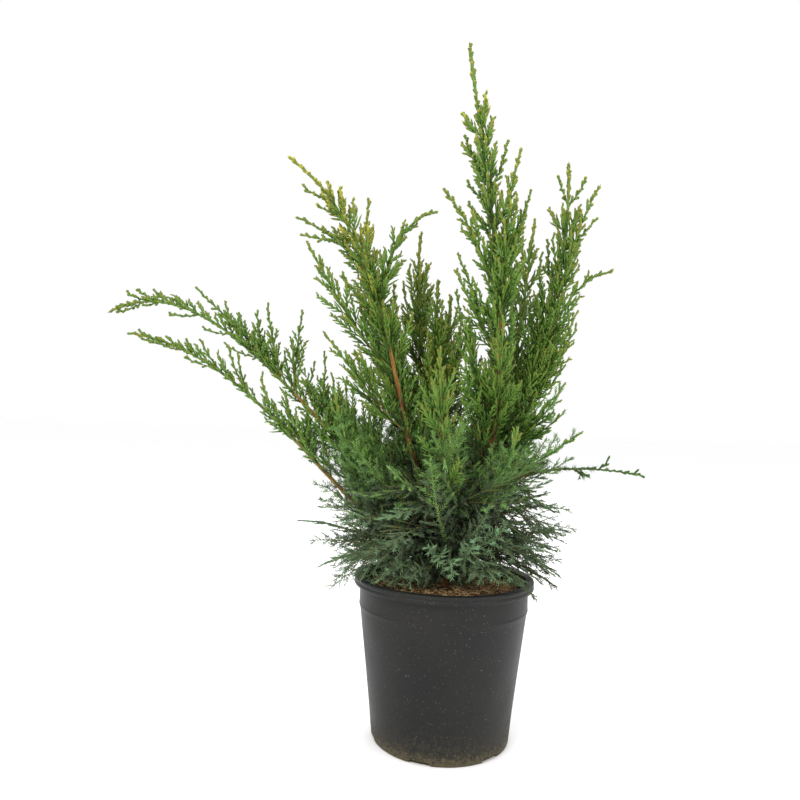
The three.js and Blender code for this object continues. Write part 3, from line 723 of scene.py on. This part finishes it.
def grow(parents, seeds, rule, habit=PLAIN_HABIT, aside=None):
    """The twigs of many parents at once, by the source's rule. Twig k roots at a share of its parent that
    rises with k, a turn further round than the last, and leans out by an angle, a little lifted. It is as
    long as a part of what is left of the parent above it, between two limits: the most falls with the
    parent's fullness, and the least with its root. It is shorter near the parent's quiet end, where it
    leans out less too, and on an underside that sheds, and longer low in the crown by the rule's low share.
    It curls back towards its parent's heading. habit has each parent's fullness, quiet end and shedding.
    With aside, a normal for each parent, twigs keep to the plane square to it. Returns the cubics, and each
    one's parent, share, seed and normal."""
    lengths = curve_lengths(parents)
    counts = np.round(lengths / rule["spacing"]).astype(int)
    owner, k = counted(counts)
    seed = seeds[owner]
    low, high = rule["span"]
    share = low + (high - low) * (k + 0.5 * chance(seed, k)) / counts[owner]
    root, heading = (part[:, 0] for part in along_curves(parents[owner], share[:, None]))
    full, quiet, shed = (np.broadcast_to(habit[key], len(parents))[owner] for key in PLAIN_HABIT)
    left = lengths[owner] * (1 - share)
    # 1 along most of a parent, and down to 0.15 within its quiet end
    still = np.clip(3 * left / (quiet + 1) - 2.9, 0.15, 1)
    turn = rule["turn"] * k + rule["stray"] * (chance(seed, 400 + k) - 0.5)
    if aside is None:
        normal = aside_of(heading)
        turn = turn + 360 * chance(seed, 100)
    else:
        normal = aside[owner]
    angle = (rule["angle"] + rule["play"] * (chance(seed, 200 + k) - 0.5)) * (0.5 + 0.5 * still)
    leave = leaving(heading, turn, angle, normal)
    leave = unit(leave + [[0, 0, rule["lift"]]])
    # How far a twig hangs on the underside of its parent
    below = np.clip(0.8 * heading[:, 2] - leave[:, 2], 0, 1)
    still = still * np.clip(1 - shed * below, 0.2, 1)
    least, most = rule["reach"]
    wished = np.clip(full * still * rule["part"] * left, least * np.sqrt(full), most * full)
    wished *= 1 - rule["fall"] * chance(seed, 300 + k)
    wished *= 1 + rule["low"] * ramp(root[:, 2], *LOW_CROWN)
    arrive = unit(leave * (1 - rule["curl"]) + heading * rule["curl"] + [[0, 0, 0.5 * rule["lift"]]])
    wished = wished[:, None]
    tip = root + wished * (0.5 * leave + 0.5 * arrive)
    curves = np.stack([root, root + wished * leave / 3, tip - wished * arrive / 3, tip], 1)
    return curves, owner, share, np.round(seed * 31 + k * 17 + 3) % 9973, unit(np.cross(heading, leave))


def cord_faces(rows):
    """Triangles of one cord: two between each pair of neighbouring corners of two rings, three at the
    tip and one at the foot. With them, each triangle's share of the way up."""
    i, right = np.arange(3), (np.arange(3) + 1) % 3
    row = 3 * np.arange(rows - 1)[:, None]
    low = np.stack([row + i, row + right, row + 3 + i], -1)
    high = np.stack([row + right, row + 3 + right, row + 3 + i], -1)
    walls = np.stack([low, high], 2).reshape(-1, 3)
    last = 3 * (rows - 1)
    tip = np.stack([last + i, last + right, np.full(3, 3 * rows)], -1)
    step = np.concatenate([np.repeat(np.arange(rows - 1), 6), np.full(3, rows - 1), [0]])
    return np.concatenate([walls, tip, [[2, 1, 0]]]), (step + 0.5) / rows


def cords(curves, share, girth, radius, base, rise, tones):
    """One kind of cord for gather: rings of three corners, each turned a sixth of a turn from the last so
    that the leaves stand in between, and the tip. share and girth run from foot to tip, for all cords or a
    row for each. A face's tone is its cord's base plus a rise that comes near the tip, as a whole number."""
    rows = np.shape(share)[-1]
    share = np.broadcast_to(share, (len(curves), rows))
    radius = np.broadcast_to(girth * np.reshape(radius, (-1, 1)), share.shape)
    rings = tube_grid(curves, share, radius[:, :, None], 3, math.pi / 3).reshape(len(curves), 3 * rows, 3)
    face, height = cord_faces(rows)
    # Each cord's foot goes darker as painted shade between the cords. Its tip goes paler, partly the new
    # growth's own yellow-green and partly painted highlight
    tone = np.reshape(base, (-1, 1)) + np.reshape(rise, (-1, 1)) * (TIP_TONE * height**2 + FOOT_SHADE)
    tone = np.clip(np.floor(tone), 0, len(tones) - 1)
    return np.concatenate([rings, curves[:, 3:4]], 1), face, np.broadcast_to(tone, (len(curves), len(face)))


def gather(parts):
    """Several kinds of cord as one mesh. Each part has the corners of its cords, the faces of one of
    them and each cord's tones; a cord's faces follow its corners, which follow the last cord's."""
    places, faces, tones, start = [], [], [], 0
    for corners, face, tone in parts:
        first = start + corners.shape[1] * np.arange(len(corners))
        faces.append((face[None] + first[:, None, None]).reshape(-1, 3))
        places.append(corners.reshape(-1, 3))
        tones.append(tone.ravel())
        start += corners.shape[0] * corners.shape[1]
    return np.concatenate(places), [np.concatenate(faces)], np.concatenate(tones)


def between(pair, share):
    """The value at a share of the way from the first of two to the second."""
    return pair[0] + (pair[1] - pair[0]) * share


def needle_places(curves, seeds, normals, size, lean):
    """Needles in two ranks up each twig, in the plane square to its normal. Towards the twig's tip a
    needle is shorter, and its angle from the twig goes from the first lean to the second."""
    counts = 2 * np.maximum(3, np.round(curve_lengths(curves) / NEEDLE_SPACING)).astype(int)
    owner, k = counted(counts)
    seed = seeds[owner]
    share = 0.03 + 0.95 * (k + 0.5 * chance(seed, k)) / counts[owner]
    root, heading = (part[:, 0] for part in along_curves(curves[owner], share[:, None]))
    turn = 180 * k + 50 * (chance(seed, 50 + k) - 0.5)
    angle = between(lean, share) + 14 * (chance(seed, 70 + k) - 0.5)
    leave = leaving(heading, turn, angle, normals[owner])
    length = size * NEEDLE_LENGTH * (1.05 - 0.35 * share) * (0.75 + 0.4 * chance(seed, 90 + k))
    side = unit(np.cross(leave, heading)) * NEEDLE_WIDTH / 2
    back = unit(np.cross(side, leave)) * NEEDLE_WIDTH * 0.4
    return *slivers(root, root + length[:, None] * leave, side, back), owner


# Ladders of greens from dark to pale, dealt out by tone level. The dark steps are painted shade and the pale
# ones partly painted light, besides the foliage's own yellow-green tips and blue-green bloom
SCALE_GREENS = dict(
    scale_shade=(61, 90, 33), scale_deep=(86, 120, 45), scale_mid=(98, 129, 50), scale_upper=(107, 120, 46),
    scale_fresh=(123, 125, 46), scale_new=(150, 150, 46), scale_gold=(182, 180, 58),
)
NEEDLE_GREENS = dict(
    needle_shade=(30, 38, 26), needle_deep=(54, 70, 48), needle_sea=(80, 99, 70),
    needle_soft=(102, 130, 92), needle_pale=(122, 160, 118), needle_bloom=(148, 190, 148),
    leaf_shade=(44, 62, 28), leaf_deep=(75, 107, 51), leaf_mid=(99, 137, 68), leaf_soft=(122, 159, 88),
    leaf_pale=(142, 168, 106), leaf_bloom=(160, 182, 122),
)
NEEDLE_STEPS = 6
TWIG_BROWNS = dict(
    twig_brown=(86, 68, 40), twig_tan=(116, 100, 52), twig_olive=(102, 108, 50), twig_green=(86, 112, 52),
)
scale_tones = plain_tones(SCALE_GREENS, 0.5)
needle_tones = plain_tones(NEEDLE_GREENS, 0.55)
twig_tones = plain_tones(TWIG_BROWNS, 0.7)

SHOOT_SHARE = np.array([0, 0.38, 0.75])
SHOOT_GIRTH = np.array([0.62, 1.02, 0.8])
END_SHARE = np.array([0, 0.14, 0.3, 0.45, 0.58, 0.71, 0.85])
END_GIRTH = np.array([0.8, 0.94, 0.86, 1.0, 0.98, 1.24, 0.92])
STEM_ROWS = 30
STEM_GIRTH = np.where(np.arange(STEM_ROWS) % 2, 1.09, 0.92)
SPEAR_AT = 0.92
SPEAR_WIDTH = 0.06
SPEAR_SWELL = 0.34
THINNEST_STEM = 0.9
TWIG_SHARE = np.array([0, 0.45, 0.95])
TWIG_GIRTH = np.array([1, 0.8, 0.5])
TWIG_SLENDERNESS = 60
TWIG_RADII = (0.35, 0.8)
TWIG_TONE = 1.5
TWIG_RISE = 2.4
GREENER_TONE = 1.5
WOOD_SHARE = np.linspace(0, 0.97, 12)
BARE_TWIG = 14
GREENER_WOOD = (300, 450)
LOW_SHOOT_SHADE = (390, 290)
VIGOUR_HEIGHT = (400, 680)
VIGOUR_REACH = (220, 620)
TRUNK_SHADE = (90, 40)
LEAF_LINE = 265
LEAF_PLAY = 70
NEEDLE_LINE = 330
LINE_PLAY = 80
LINE_FALL = 1.6
CROWN_RADIUS = 125
BRIGHTER_TWIGS = (445, 665)


def make_mass(name, kind, nodes, parts, tones, smooth=True):
    """A piece from parts that gather has joined, in place of the CAD nodes of its mass."""
    places, faces, dealt = parts
    piece = make_piece(f"{name}_{kind}", places, faces, tones, dealt, smooth)
    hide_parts(*nodes)


def make_twigs(name, nodes, stems, twigs, seed):
    """Bare wood: the twigs and stems, brown at the foot and green at the tip, and greener high up."""
    high, stem_high = (ramp(curves[:, 3, 2], *GREENER_WOOD) for curves in (twigs, stems["curves"]))
    parts = [
        cords(twigs, TWIG_SHARE, TWIG_GIRTH, np.clip(curve_lengths(twigs) / TWIG_SLENDERNESS, *TWIG_RADII),
              TWIG_TONE + 1.2 * chance(seed, 3) + GREENER_TONE * high, TWIG_RISE, twig_tones),
        cords(stems["curves"], WOOD_SHARE, 1 - 0.7 * WOOD_SHARE, stems["radius"],
              TWIG_TONE + GREENER_TONE * stem_high, TWIG_RISE, twig_tones),
    ]
    make_mass(name, "twigs", nodes, gather(parts), twig_tones)


def make_shoots(name, nodes, stems, twigs, seed, normal, bright):
    """Scale-leaf cords: the shoots on the twigs, the twigs' own green ends, and the stems' green ends.
    They are stouter and their ends yellower where the growth is vigorous, high up and far out."""
    out = np.linalg.norm(twigs[:, 3, :2], axis=1)
    climbed = (twigs[:, 3, 2] - VIGOUR_HEIGHT[0]) / (VIGOUR_HEIGHT[1] - VIGOUR_HEIGHT[0])
    vigour = np.clip(climbed + ramp(out, *VIGOUR_REACH), 0, 1)
    rise = np.maximum(2.1, 1.2 + 3.6 * vigour)
    length = curve_lengths(twigs)
    bearer = np.flatnonzero(length > BARE_TWIG)
    shoots, parent, share, shoot_seed, _ = grow(twigs[bearer], seed[bearer], SHOOTS, aside=normal[bearer])
    parent = bearer[parent]
    # Shoots low in the crown and near the foot of their twig get darker tones: painted shade
    bright = bright - 0.5 * ramp(twigs[:, 3, 2], *LOW_SHOOT_SHADE)
    level = bright[parent] - 0.5 + 1.4 * share + 1.1 * (chance(shoot_seed, 4) - 0.5)
    size = (1.0 + 0.55 * vigour[parent]) * (0.85 + 0.3 * chance(shoot_seed, 5))
    bare = np.clip((length - 18) / 90, 0, 0.4)[:, None]
    tall = stems["tall"]
    green, radius = stems["green"][tall, None], stems["radius"][tall, None]
    up = green + (1 - green) * np.linspace(0, 0.965, STEM_ROWS)
    girth = STEM_GIRTH * (1 - 0.45 * up + SPEAR_SWELL * np.exp(-(((up - SPEAR_AT) / SPEAR_WIDTH) ** 2)))
    parts = [
        cords(shoots, SHOOT_SHARE, SHOOT_GIRTH, size, level, rise[parent], scale_tones),
        cords(twigs, bare + (1 - bare) * END_SHARE, END_GIRTH, 1.2 + 0.8 * vigour, bright, rise,
              scale_tones),
        cords(stems["curves"][tall], up, np.maximum(girth, THINNEST_STEM / radius), radius,
              stems["light"][tall] + 0.3, 3.0, scale_tones),
    ]
    make_mass(name, "shoots", nodes, gather(parts), scale_tones)


def make_needles(name, slot, nodes, twigs, seed, normal, bright, sprig_rule, size, lean):
    """Soft needles on the young twigs and on the sprigs that these bear. Each twig or sprig has a tone,
    darker near the trunk; its needles stray from it, and one side of a needle is paler. The twigs that end
    above the leaf line have the greener half of the tones."""
    sprigs, parent, _, sprig_seed, sprig_normal = grow(twigs, seed, sprig_rule, aside=normal)
    bearers = np.concatenate([twigs, sprigs])
    seeds = np.concatenate([seed, sprig_seed])
    places, faces, bearer = needle_places(bearers, seeds, np.concatenate([normal, sprig_normal]), size, lean)
    away = np.linalg.norm(bearers[:, 3, :2], axis=1)
    # Twigs and sprays near the trunk get darker tones: painted shade inside the crown
    level = 0.55 * np.concatenate([bright, bright[parent]]) + 1.35 - 1.4 * ramp(away, *TRUNK_SHADE)
    level = level[bearer] + 1.4 * (chance(seeds[bearer], 6) - 0.5)
    tones = np.floor(np.repeat(level, 4) + np.tile(NEEDLE_FACE_TONES, len(level)))
    tones = np.clip(tones, 0, NEEDLE_STEPS - 1)
    green = bearers[:, 3, 2] + LEAF_PLAY * (chance(seeds, 8) - 0.5) > LEAF_LINE
    tones += NEEDLE_STEPS * np.repeat(green[bearer], 4)
    make_mass(name, "needles", nodes, (places, [faces], tones), needle_tones, smooth=False)


def dress(name, stems, nodes):
    """A mass of the crown on its stems: twigs by the rule, then needles on the twigs that end below the
    needle line, which falls away outwards, and shoots on the rest."""
    twigs, owner, share, seed, normal = grow(stems["curves"], stems["seeds"], TWIGS, stems)
    tip = twigs[:, 3]
    out = np.linalg.norm(tip[:, :2], axis=1)
    line = NEEDLE_LINE + LINE_PLAY * (chance(seed, 1) - 0.5)
    young = tip[:, 2] < line - LINE_FALL * np.clip(out - CROWN_RADIUS, 0, None)
    # A twig's tone rises along its stem and with height: painted shade inside the plumes, and painted light
    # on the top of the crown
    bright = stems["light"][owner] + share + 1.3 * (chance(seed, 2) - 0.5)
    bright += np.clip(ramp(tip[:, 2], *BRIGHTER_TWIGS), 0.1, 0.8)
    make_twigs(name, nodes, stems, twigs, seed)
    old, new = ([part[chosen] for part in (twigs, seed, normal, bright)] for chosen in (~young, young))
    if len(old[0]):
        make_shoots(name, nodes, stems, *old)
    if len(new[0]):
        make_needles(name, "foliage_deep", nodes, *new, SPRIGS, NEEDLE_SIZE, NEEDLE_LEAN)


def stretch(curve, start):
    """The part of a cubic above a share of its length, as a cubic: de Casteljau's cut at that share."""
    cut = float(even_shares(curve, [start])[0][0])
    once = curve[:-1] + cut * np.diff(curve, axis=0)
    twice = once[:-1] + cut * np.diff(once, axis=0)
    return np.array([twice[0] + cut * (twice[1] - twice[0]), twice[1], once[2], curve[3]])


OPEN_FRONT = ("leader_left", "leader_right")
ARCHES = ("arch_left_low", "arch_left_high", "arch_right_low")
SIDE_FULL = {"arch_left_low": 0.6, "arch_left_high": 0.6, "stem_right": 0.72}
STEM_RADIUS = 1.4
FILL_RADIUS = 0.9
FROND_LINE = 315
PLUME_LIGHT = 1.9
SHED = 0.6
ARCH_SHED = 4.0
SIDE_STEM = dict(shed=SHED, green=0.4, tall=True, node=None)
plume_seed = 1
rows_of = {name: [] for name in BOUGHS}
for name, bough in BOUGHS.items():
    start = bough.get("first", 0.7 * bough["wood"])
    rows_of[name].append(dict(
        curves=stretch(limb_curves[name], start), seeds=plume_seed, light=bough.get("light", PLUME_LIGHT),
        quiet=bough.get("quiet", 40), shed=ARCH_SHED if name in ARCHES else SHED,
        full=bough.get("full", 0.45 if name in ARCHES else 1.0), radius=limb_radius(start, bough["radius"]),
        green=(bough.get("brown", bough["wood"]) + 0.8 * GREENING - start) / (1 - start),
        tall=True, node="plume_" + name,
    ))
    plume_seed += 1
low_plumes = {}
for name, sides in SIDE_PLUMES.items():
    for side_name, (at, tip, *lean_and_toward) in sides.items():
        curve = limb_curve(place_on(name, at), tip, *lean_and_toward)
        node = f"plume_{name}_{side_name}"
        plume_seed += 1
        if tip[2] < FROND_LINE:
            low_plumes[node] = curve
            continue
        rows_of[name].append(dict(
            SIDE_STEM, curves=curve, seeds=plume_seed, light=SIDE_LIGHTS.get(node, 1.7),
            quiet=8 + 24 * chance(plume_seed, 9), full=SIDE_FULL.get(name, 0.85), radius=STEM_RADIUS,
            node=node,
        ))
for name, sides in SMALL_PLUMES.items():
    for at, *tip in sides:
        foot = place_on(name, at)
        lean = math.degrees(math.acos(unit(tip - foot)[2]))
        rows_of[name].append(dict(
            SIDE_STEM, curves=limb_curve(foot, tip, (lean + SMALL_SPREAD, lean - SMALL_SPREAD)),
            seeds=plume_seed, light=min(2.1, BOUGHS[name].get("light", PLUME_LIGHT)),
            quiet=6 + 14 * chance(plume_seed, 9), full=0.4 if name in ARCHES else 0.66, radius=FILL_RADIUS,
        ))
        plume_seed += 1

# Fills are stems inside the crown, on the boughs' bare wood. The two leaders keep those that lean backwards,
# so that their bark shows in front, and the arches keep two in three of those that rise well
for number, (name, bough) in enumerate(BOUGHS.items()):
    rows = rows_of[name]
    bare = stretch(limb_curves[name][::-1], 1 - bough["wood"])[::-1]
    fills, _, _, fill_seed, _ = grow(bare[None], np.array([500.0 + number]), FILLS)
    reach = fills[:, 3] - fills[:, 0]
    if name in OPEN_FRONT:
        kept = reach[:, 1] > 4
    elif name in ARCHES:
        kept = (reach[:, 2] > 40) & (np.arange(len(fills)) % 3 > 0)
    else:
        kept = reach[:, 2] > -50
    for curve, seed in zip(fills[kept], fill_seed[kept]):
        rows.append(dict(
            SIDE_STEM, curves=curve, seeds=seed, light=1.3, quiet=5, full=0.9, radius=FILL_RADIUS,
            green=0.9, tall=False,
        ))
    stems = {key: np.array([row[key] for row in rows]) for key in rows[0] if key != "node"}
    dress(name, stems, [row["node"] for row in rows if row["node"]])

# The skirt: young fronds that root on the trunk and the feet of the boughs and hang out over the rim all
# round, with flat sprays of soft blue-green needles to both sides. The front of the compost stays open,
# and a few bright fronds before it and the lowest plumes turn their flat sides to the viewer.
SKIRT_COUNT = 9
SKIRT_FIRST_HEADING = 200
SKIRT_TURN_PLAY = 0.3
SKIRT_REACH = (118, 142)
SKIRT_TIP_HEIGHT = (178, 226)
SKIRT_LEAN = (58, 100)
SKIRT_TRUNK_SPAN = (0.12, 0.85)
GOLDEN_SHARE = 0.618
SKIRT_RADIUS = 0.9
UNDER_COUNT = 100
UNDER_CROWDING = 1.9
UNDER_FIRST_HEADING = 20
UNDER_LIMBS = ("leader_left", "leader_right", "stem_right", "arch_left_low", "stem_back", "arch_back_left")
UNDER_ROOT = np.array([(0.01, 0.07), (0.12, 0.2)])
UNDER_REACH = (136, 126)
FRONT_SHORTER = 34
REACH_PLAY = 30
UNDER_TIP_HEIGHT = (158, 318)
FRONT_HIGHER = 10
HEIGHT_PLAY = 14
UNDER_LEAN = np.array([(76, 128), (34, 40)])
ROLL_PLAY = 0.6
FACING = -0.5
FRONT_FACING = -1.2
OPEN_HEADING = 272
OPEN_WIDTH = 26
OPEN_REACH = 0.52
OPEN_TIP_HEIGHT = 170
SIDE_LEAN = (84, 96)
SIDE_FRONDS = [
    ("arch_left_low", 0.2, (-140, -30, 260)), ("arch_left_low", 0.14, (-158, -20, 220)),
    ("arch_left_low", 0.17, (-142, 10, 240)), ("arch_left_low", 0.1, (-138, -50, 205)),
    ("stem_right", 0.1, (126, -10, 214)), ("stem_right", 0.08, (131, 25, 204)),
    ("stem_right", 0.13, (124, 10, 236)),
]
FRONT_FRONDS = [
    (0.9, (42, -80, 254), (38, 20)), (0.8, (60, -78, 238), (46, 30)), (0.6, (30, -86, 226), (52, 22)),
    (0.9, (-16, -88, 214), (60, 50)), (0.5, (8, -96, 182), (56, 144)), (0.6, (-6, -92, 194), (60, 120)),
    (0.3, (-32, -94, 180), (70, 116)), (0.4, (-56, -84, 182), (72, 112)), (0.3, (38, -92, 180), (68, 116)),
    (0.4, (66, -80, 182), (72, 112)), (0.6, (-74, -60, 190), (72, 100)),
    (0.5, (-99, -40, 169), (72, 112)), (0.3, (-85, -52, 169), (72, 112)), (0.6, (-74, -60, 169), (72, 112)),
    (0.35, (-55, -72, 169), (72, 112)), (0.5, (-38, -78, 169), (72, 112)), (0.4, (80, -60, 171), (72, 112)),
]
BRIGHT_FRONDS = 6
FRONT_LIGHTS = (4.4, 2.2)
SKIRT_LINE = 240
SKIRT_NEEDLE_LEAN = (52, 32)
FROND_SPRAYS = dict(
    SPRIGS, spacing=7.0, span=(0.06, 0.97), angle=46, play=14, reach=(10, 46), part=0.62, lift=0.0, stray=24,
)
SPRAY_SPRIGS = dict(
    SPRIGS, spacing=24, span=(0.2, 0.9), play=14, reach=(7, 14), part=0.4, lift=0.0, stray=26,
)
FRONT_SPRAYS = dict(FROND_SPRAYS, reach=(8, 30), part=0.45)
number = np.arange(SKIRT_COUNT)
heading = 360 / SKIRT_COUNT * (number + SKIRT_TURN_PLAY * chance(7, number))
heading = np.radians(SKIRT_FIRST_HEADING + heading)
# Under the crown a hundred more fronds root in tiers, from 0 for the lowest to 1 for the highest
more = np.arange(UNDER_COUNT)
tier = ((more + 0.5) / UNDER_COUNT) ** UNDER_CROWDING
heading = np.concatenate([heading, np.radians(GOLDEN_ANGLE * more + UNDER_FIRST_HEADING)])
front = np.clip(-np.sin(heading[SKIRT_COUNT:]), 0, 1) * (1 - tier)
under_reach = between(UNDER_REACH, tier) + REACH_PLAY * (chance(11, more) - 0.5)
under_height = between(UNDER_TIP_HEIGHT, tier) + HEIGHT_PLAY * (chance(13, more) - 0.5)
reach = np.concatenate([between(SKIRT_REACH, chance(8, number)), under_reach - FRONT_SHORTER * front])
height = between(SKIRT_TIP_HEIGHT, chance(9, number))
height = np.concatenate([height, under_height + FRONT_HIGHER * front])
off_open = np.abs((np.degrees(heading) - OPEN_HEADING + 180) % 360 - 180)
short = off_open < OPEN_WIDTH
reach = np.where(short, OPEN_REACH * reach, reach)
height = np.where(short, np.maximum(height, OPEN_TIP_HEIGHT), height)
feet = up_trunk(between(SKIRT_TRUNK_SPAN, (number * GOLDEN_SHARE) % 1)).tolist()
for i in more:
    at = between(between(UNDER_ROOT, tier[i]), chance(12, i))
    feet.append(place_on(UNDER_LIMBS[i % len(UNDER_LIMBS)], at))
tips = np.stack([reach * np.cos(heading), reach * np.sin(heading), height], -1)
leans = np.concatenate([
    np.tile(SKIRT_LEAN, (SKIRT_COUNT, 1)), between(UNDER_LEAN, tier[:, None]),
    np.tile(SIDE_LEAN, (len(SIDE_FRONDS), 1)),
])
feet += [place_on(name, at) for name, at, tip in SIDE_FRONDS]
tips = np.concatenate([tips, [tip for name, at, tip in SIDE_FRONDS]])
fronds = [limb_curve(*row) for row in zip(feet, tips, leans)]
front_fronds = [limb_curve(place_on("trunk", at), tip, lean) for at, tip, lean in FRONT_FRONDS]
fronds = np.array(fronds + front_fronds + list(low_plumes.values()))
faces_front = np.arange(len(fronds)) >= len(tips)
frond_seed = plume_seed + np.arange(len(fronds)).astype(float)
roll = 2 * math.pi * chance(frond_seed, 31)
sky = np.stack([ROLL_PLAY * np.cos(roll), ROLL_PLAY * np.sin(roll) + FACING, np.ones(len(fronds))], -1)
sky = unit(np.where(faces_front[:, None], 0.5 * sky + [0, FRONT_FACING, 0], sky))
skirt_nodes = [f"skirt_spray_{i + 1}" for i in number]
low = fronds[:, 3, 2] < SKIRT_LINE
for name, row, nodes, rule, size in (
    ("skirt", low & ~faces_front, skirt_nodes, FROND_SPRAYS, 0.8),
    ("brush", ~low & ~faces_front, skirt_nodes, FROND_SPRAYS, 0.8),
    ("front", faces_front, list(low_plumes), FRONT_SPRAYS, 0.9),
):
    curves, seed, aside = fronds[row], frond_seed[row], sky[row]
    sprays, owner, share, spray_seed, spray_normal = grow(curves, seed, rule, aside=aside)
    chord = curves[:, 3] - curves[:, 0]
    frond_normal = unit(np.cross(chord, np.cross(chord, aside)))
    stems = dict(curves=curves, radius=np.full(len(curves), SKIRT_RADIUS))
    make_twigs(name, nodes, stems, sprays, spray_seed)
    # Most of the fronds are dark and a few are pale. As painted shade they darken to the right, and their
    # sprays darken towards the frond's foot
    light = 0.7 + 3.4 * chance(seed, 21) ** 2 - 1.2 * ramp(curves[:, 3, 0], 0, 100)
    if name == "front":
        light = np.where(np.arange(len(curves)) < BRIGHT_FRONDS, *FRONT_LIGHTS) + chance(seed, 21) - 0.5
    light = np.concatenate([light[owner] + 0.8 * share, light + 0.4])
    make_needles(
        name, "foliage_blue", nodes, np.concatenate([sprays, curves]), np.concatenate([spray_seed, seed]),
        np.concatenate([spray_normal, frond_normal]), light, SPRAY_SPRIGS, size, SKIRT_NEEDLE_LEAN,
    )

# The studio: a plain pale floor that runs back under a pale sky, with broad soft lights, and the camera
# where the photograph was taken from.
CAMERA_PLACE = (0.0, -0.7153, 0.3241)
CAMERA_YAW = -4.215
CAMERA_PITCH = 2.261
CAMERA_ROLL = 1.805
CAMERA_LENS = 29.7
CAMERA_SENSOR = 36
LIGHTS_FACE = (0, 0, 0.4)
FLOOR_REACH = 40
floor_mesh = bpy.data.meshes.new("studio_floor")
corners = [(x * FLOOR_REACH, y * FLOOR_REACH, 0) for x, y in ((-1, -1), (1, -1), (1, 1), (-1, 1))]
floor_mesh.from_pydata(corners, [], [(0, 1, 2, 3)])
floor = stand("studio_floor", floor_mesh)
floor_mesh.materials.append(Finish("pale_floor").surface(Base_Color=(0.99, 0.99, 0.99, 1), Roughness=0.9))
floor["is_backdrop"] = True


def soft_light(name, place, power, size):
    """A square area light that faces the middle of the plant."""
    light = bpy.data.lights.new(name, "AREA")
    light.energy, light.size = power, size
    lamp = stand(name, light)
    lamp.location = place
    lamp.rotation_euler = (Vector(place) - Vector(LIGHTS_FACE)).to_track_quat("Z", "Y").to_euler()


soft_light("soft_key", (-1.1, -1.6, 1.9), 34, 1.4)
soft_light("soft_fill", (1.6, -1.2, 1.1), 16, 1.4)
soft_light("soft_back", (0.3, 1.8, 1.8), 22, 1.6)
world = bpy.data.worlds.new("studio_sky")
world.use_nodes = True
sky_light = world.node_tree.nodes["Background"].inputs
sky_light["Color"].default_value, sky_light["Strength"].default_value = (1, 1, 1, 1), 1.0
bpy.context.scene.world = world
bpy.context.scene.view_settings.view_transform = "Standard"

lens = bpy.data.cameras.new("camera")
lens.lens, lens.sensor_width = CAMERA_LENS, CAMERA_SENSOR
camera = stand("camera", lens)
yaw, pitch, roll = (math.radians(angle) for angle in (CAMERA_YAW, CAMERA_PITCH, CAMERA_ROLL))
turned = Matrix.Rotation(-yaw, 4, "Z") @ Matrix.Rotation(math.pi / 2 + pitch, 4, "X")
camera.matrix_world = Matrix.Translation(CAMERA_PLACE) @ turned @ Matrix.Rotation(roll, 4, "Z")
bpy.context.scene.camera = camera

low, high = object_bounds()
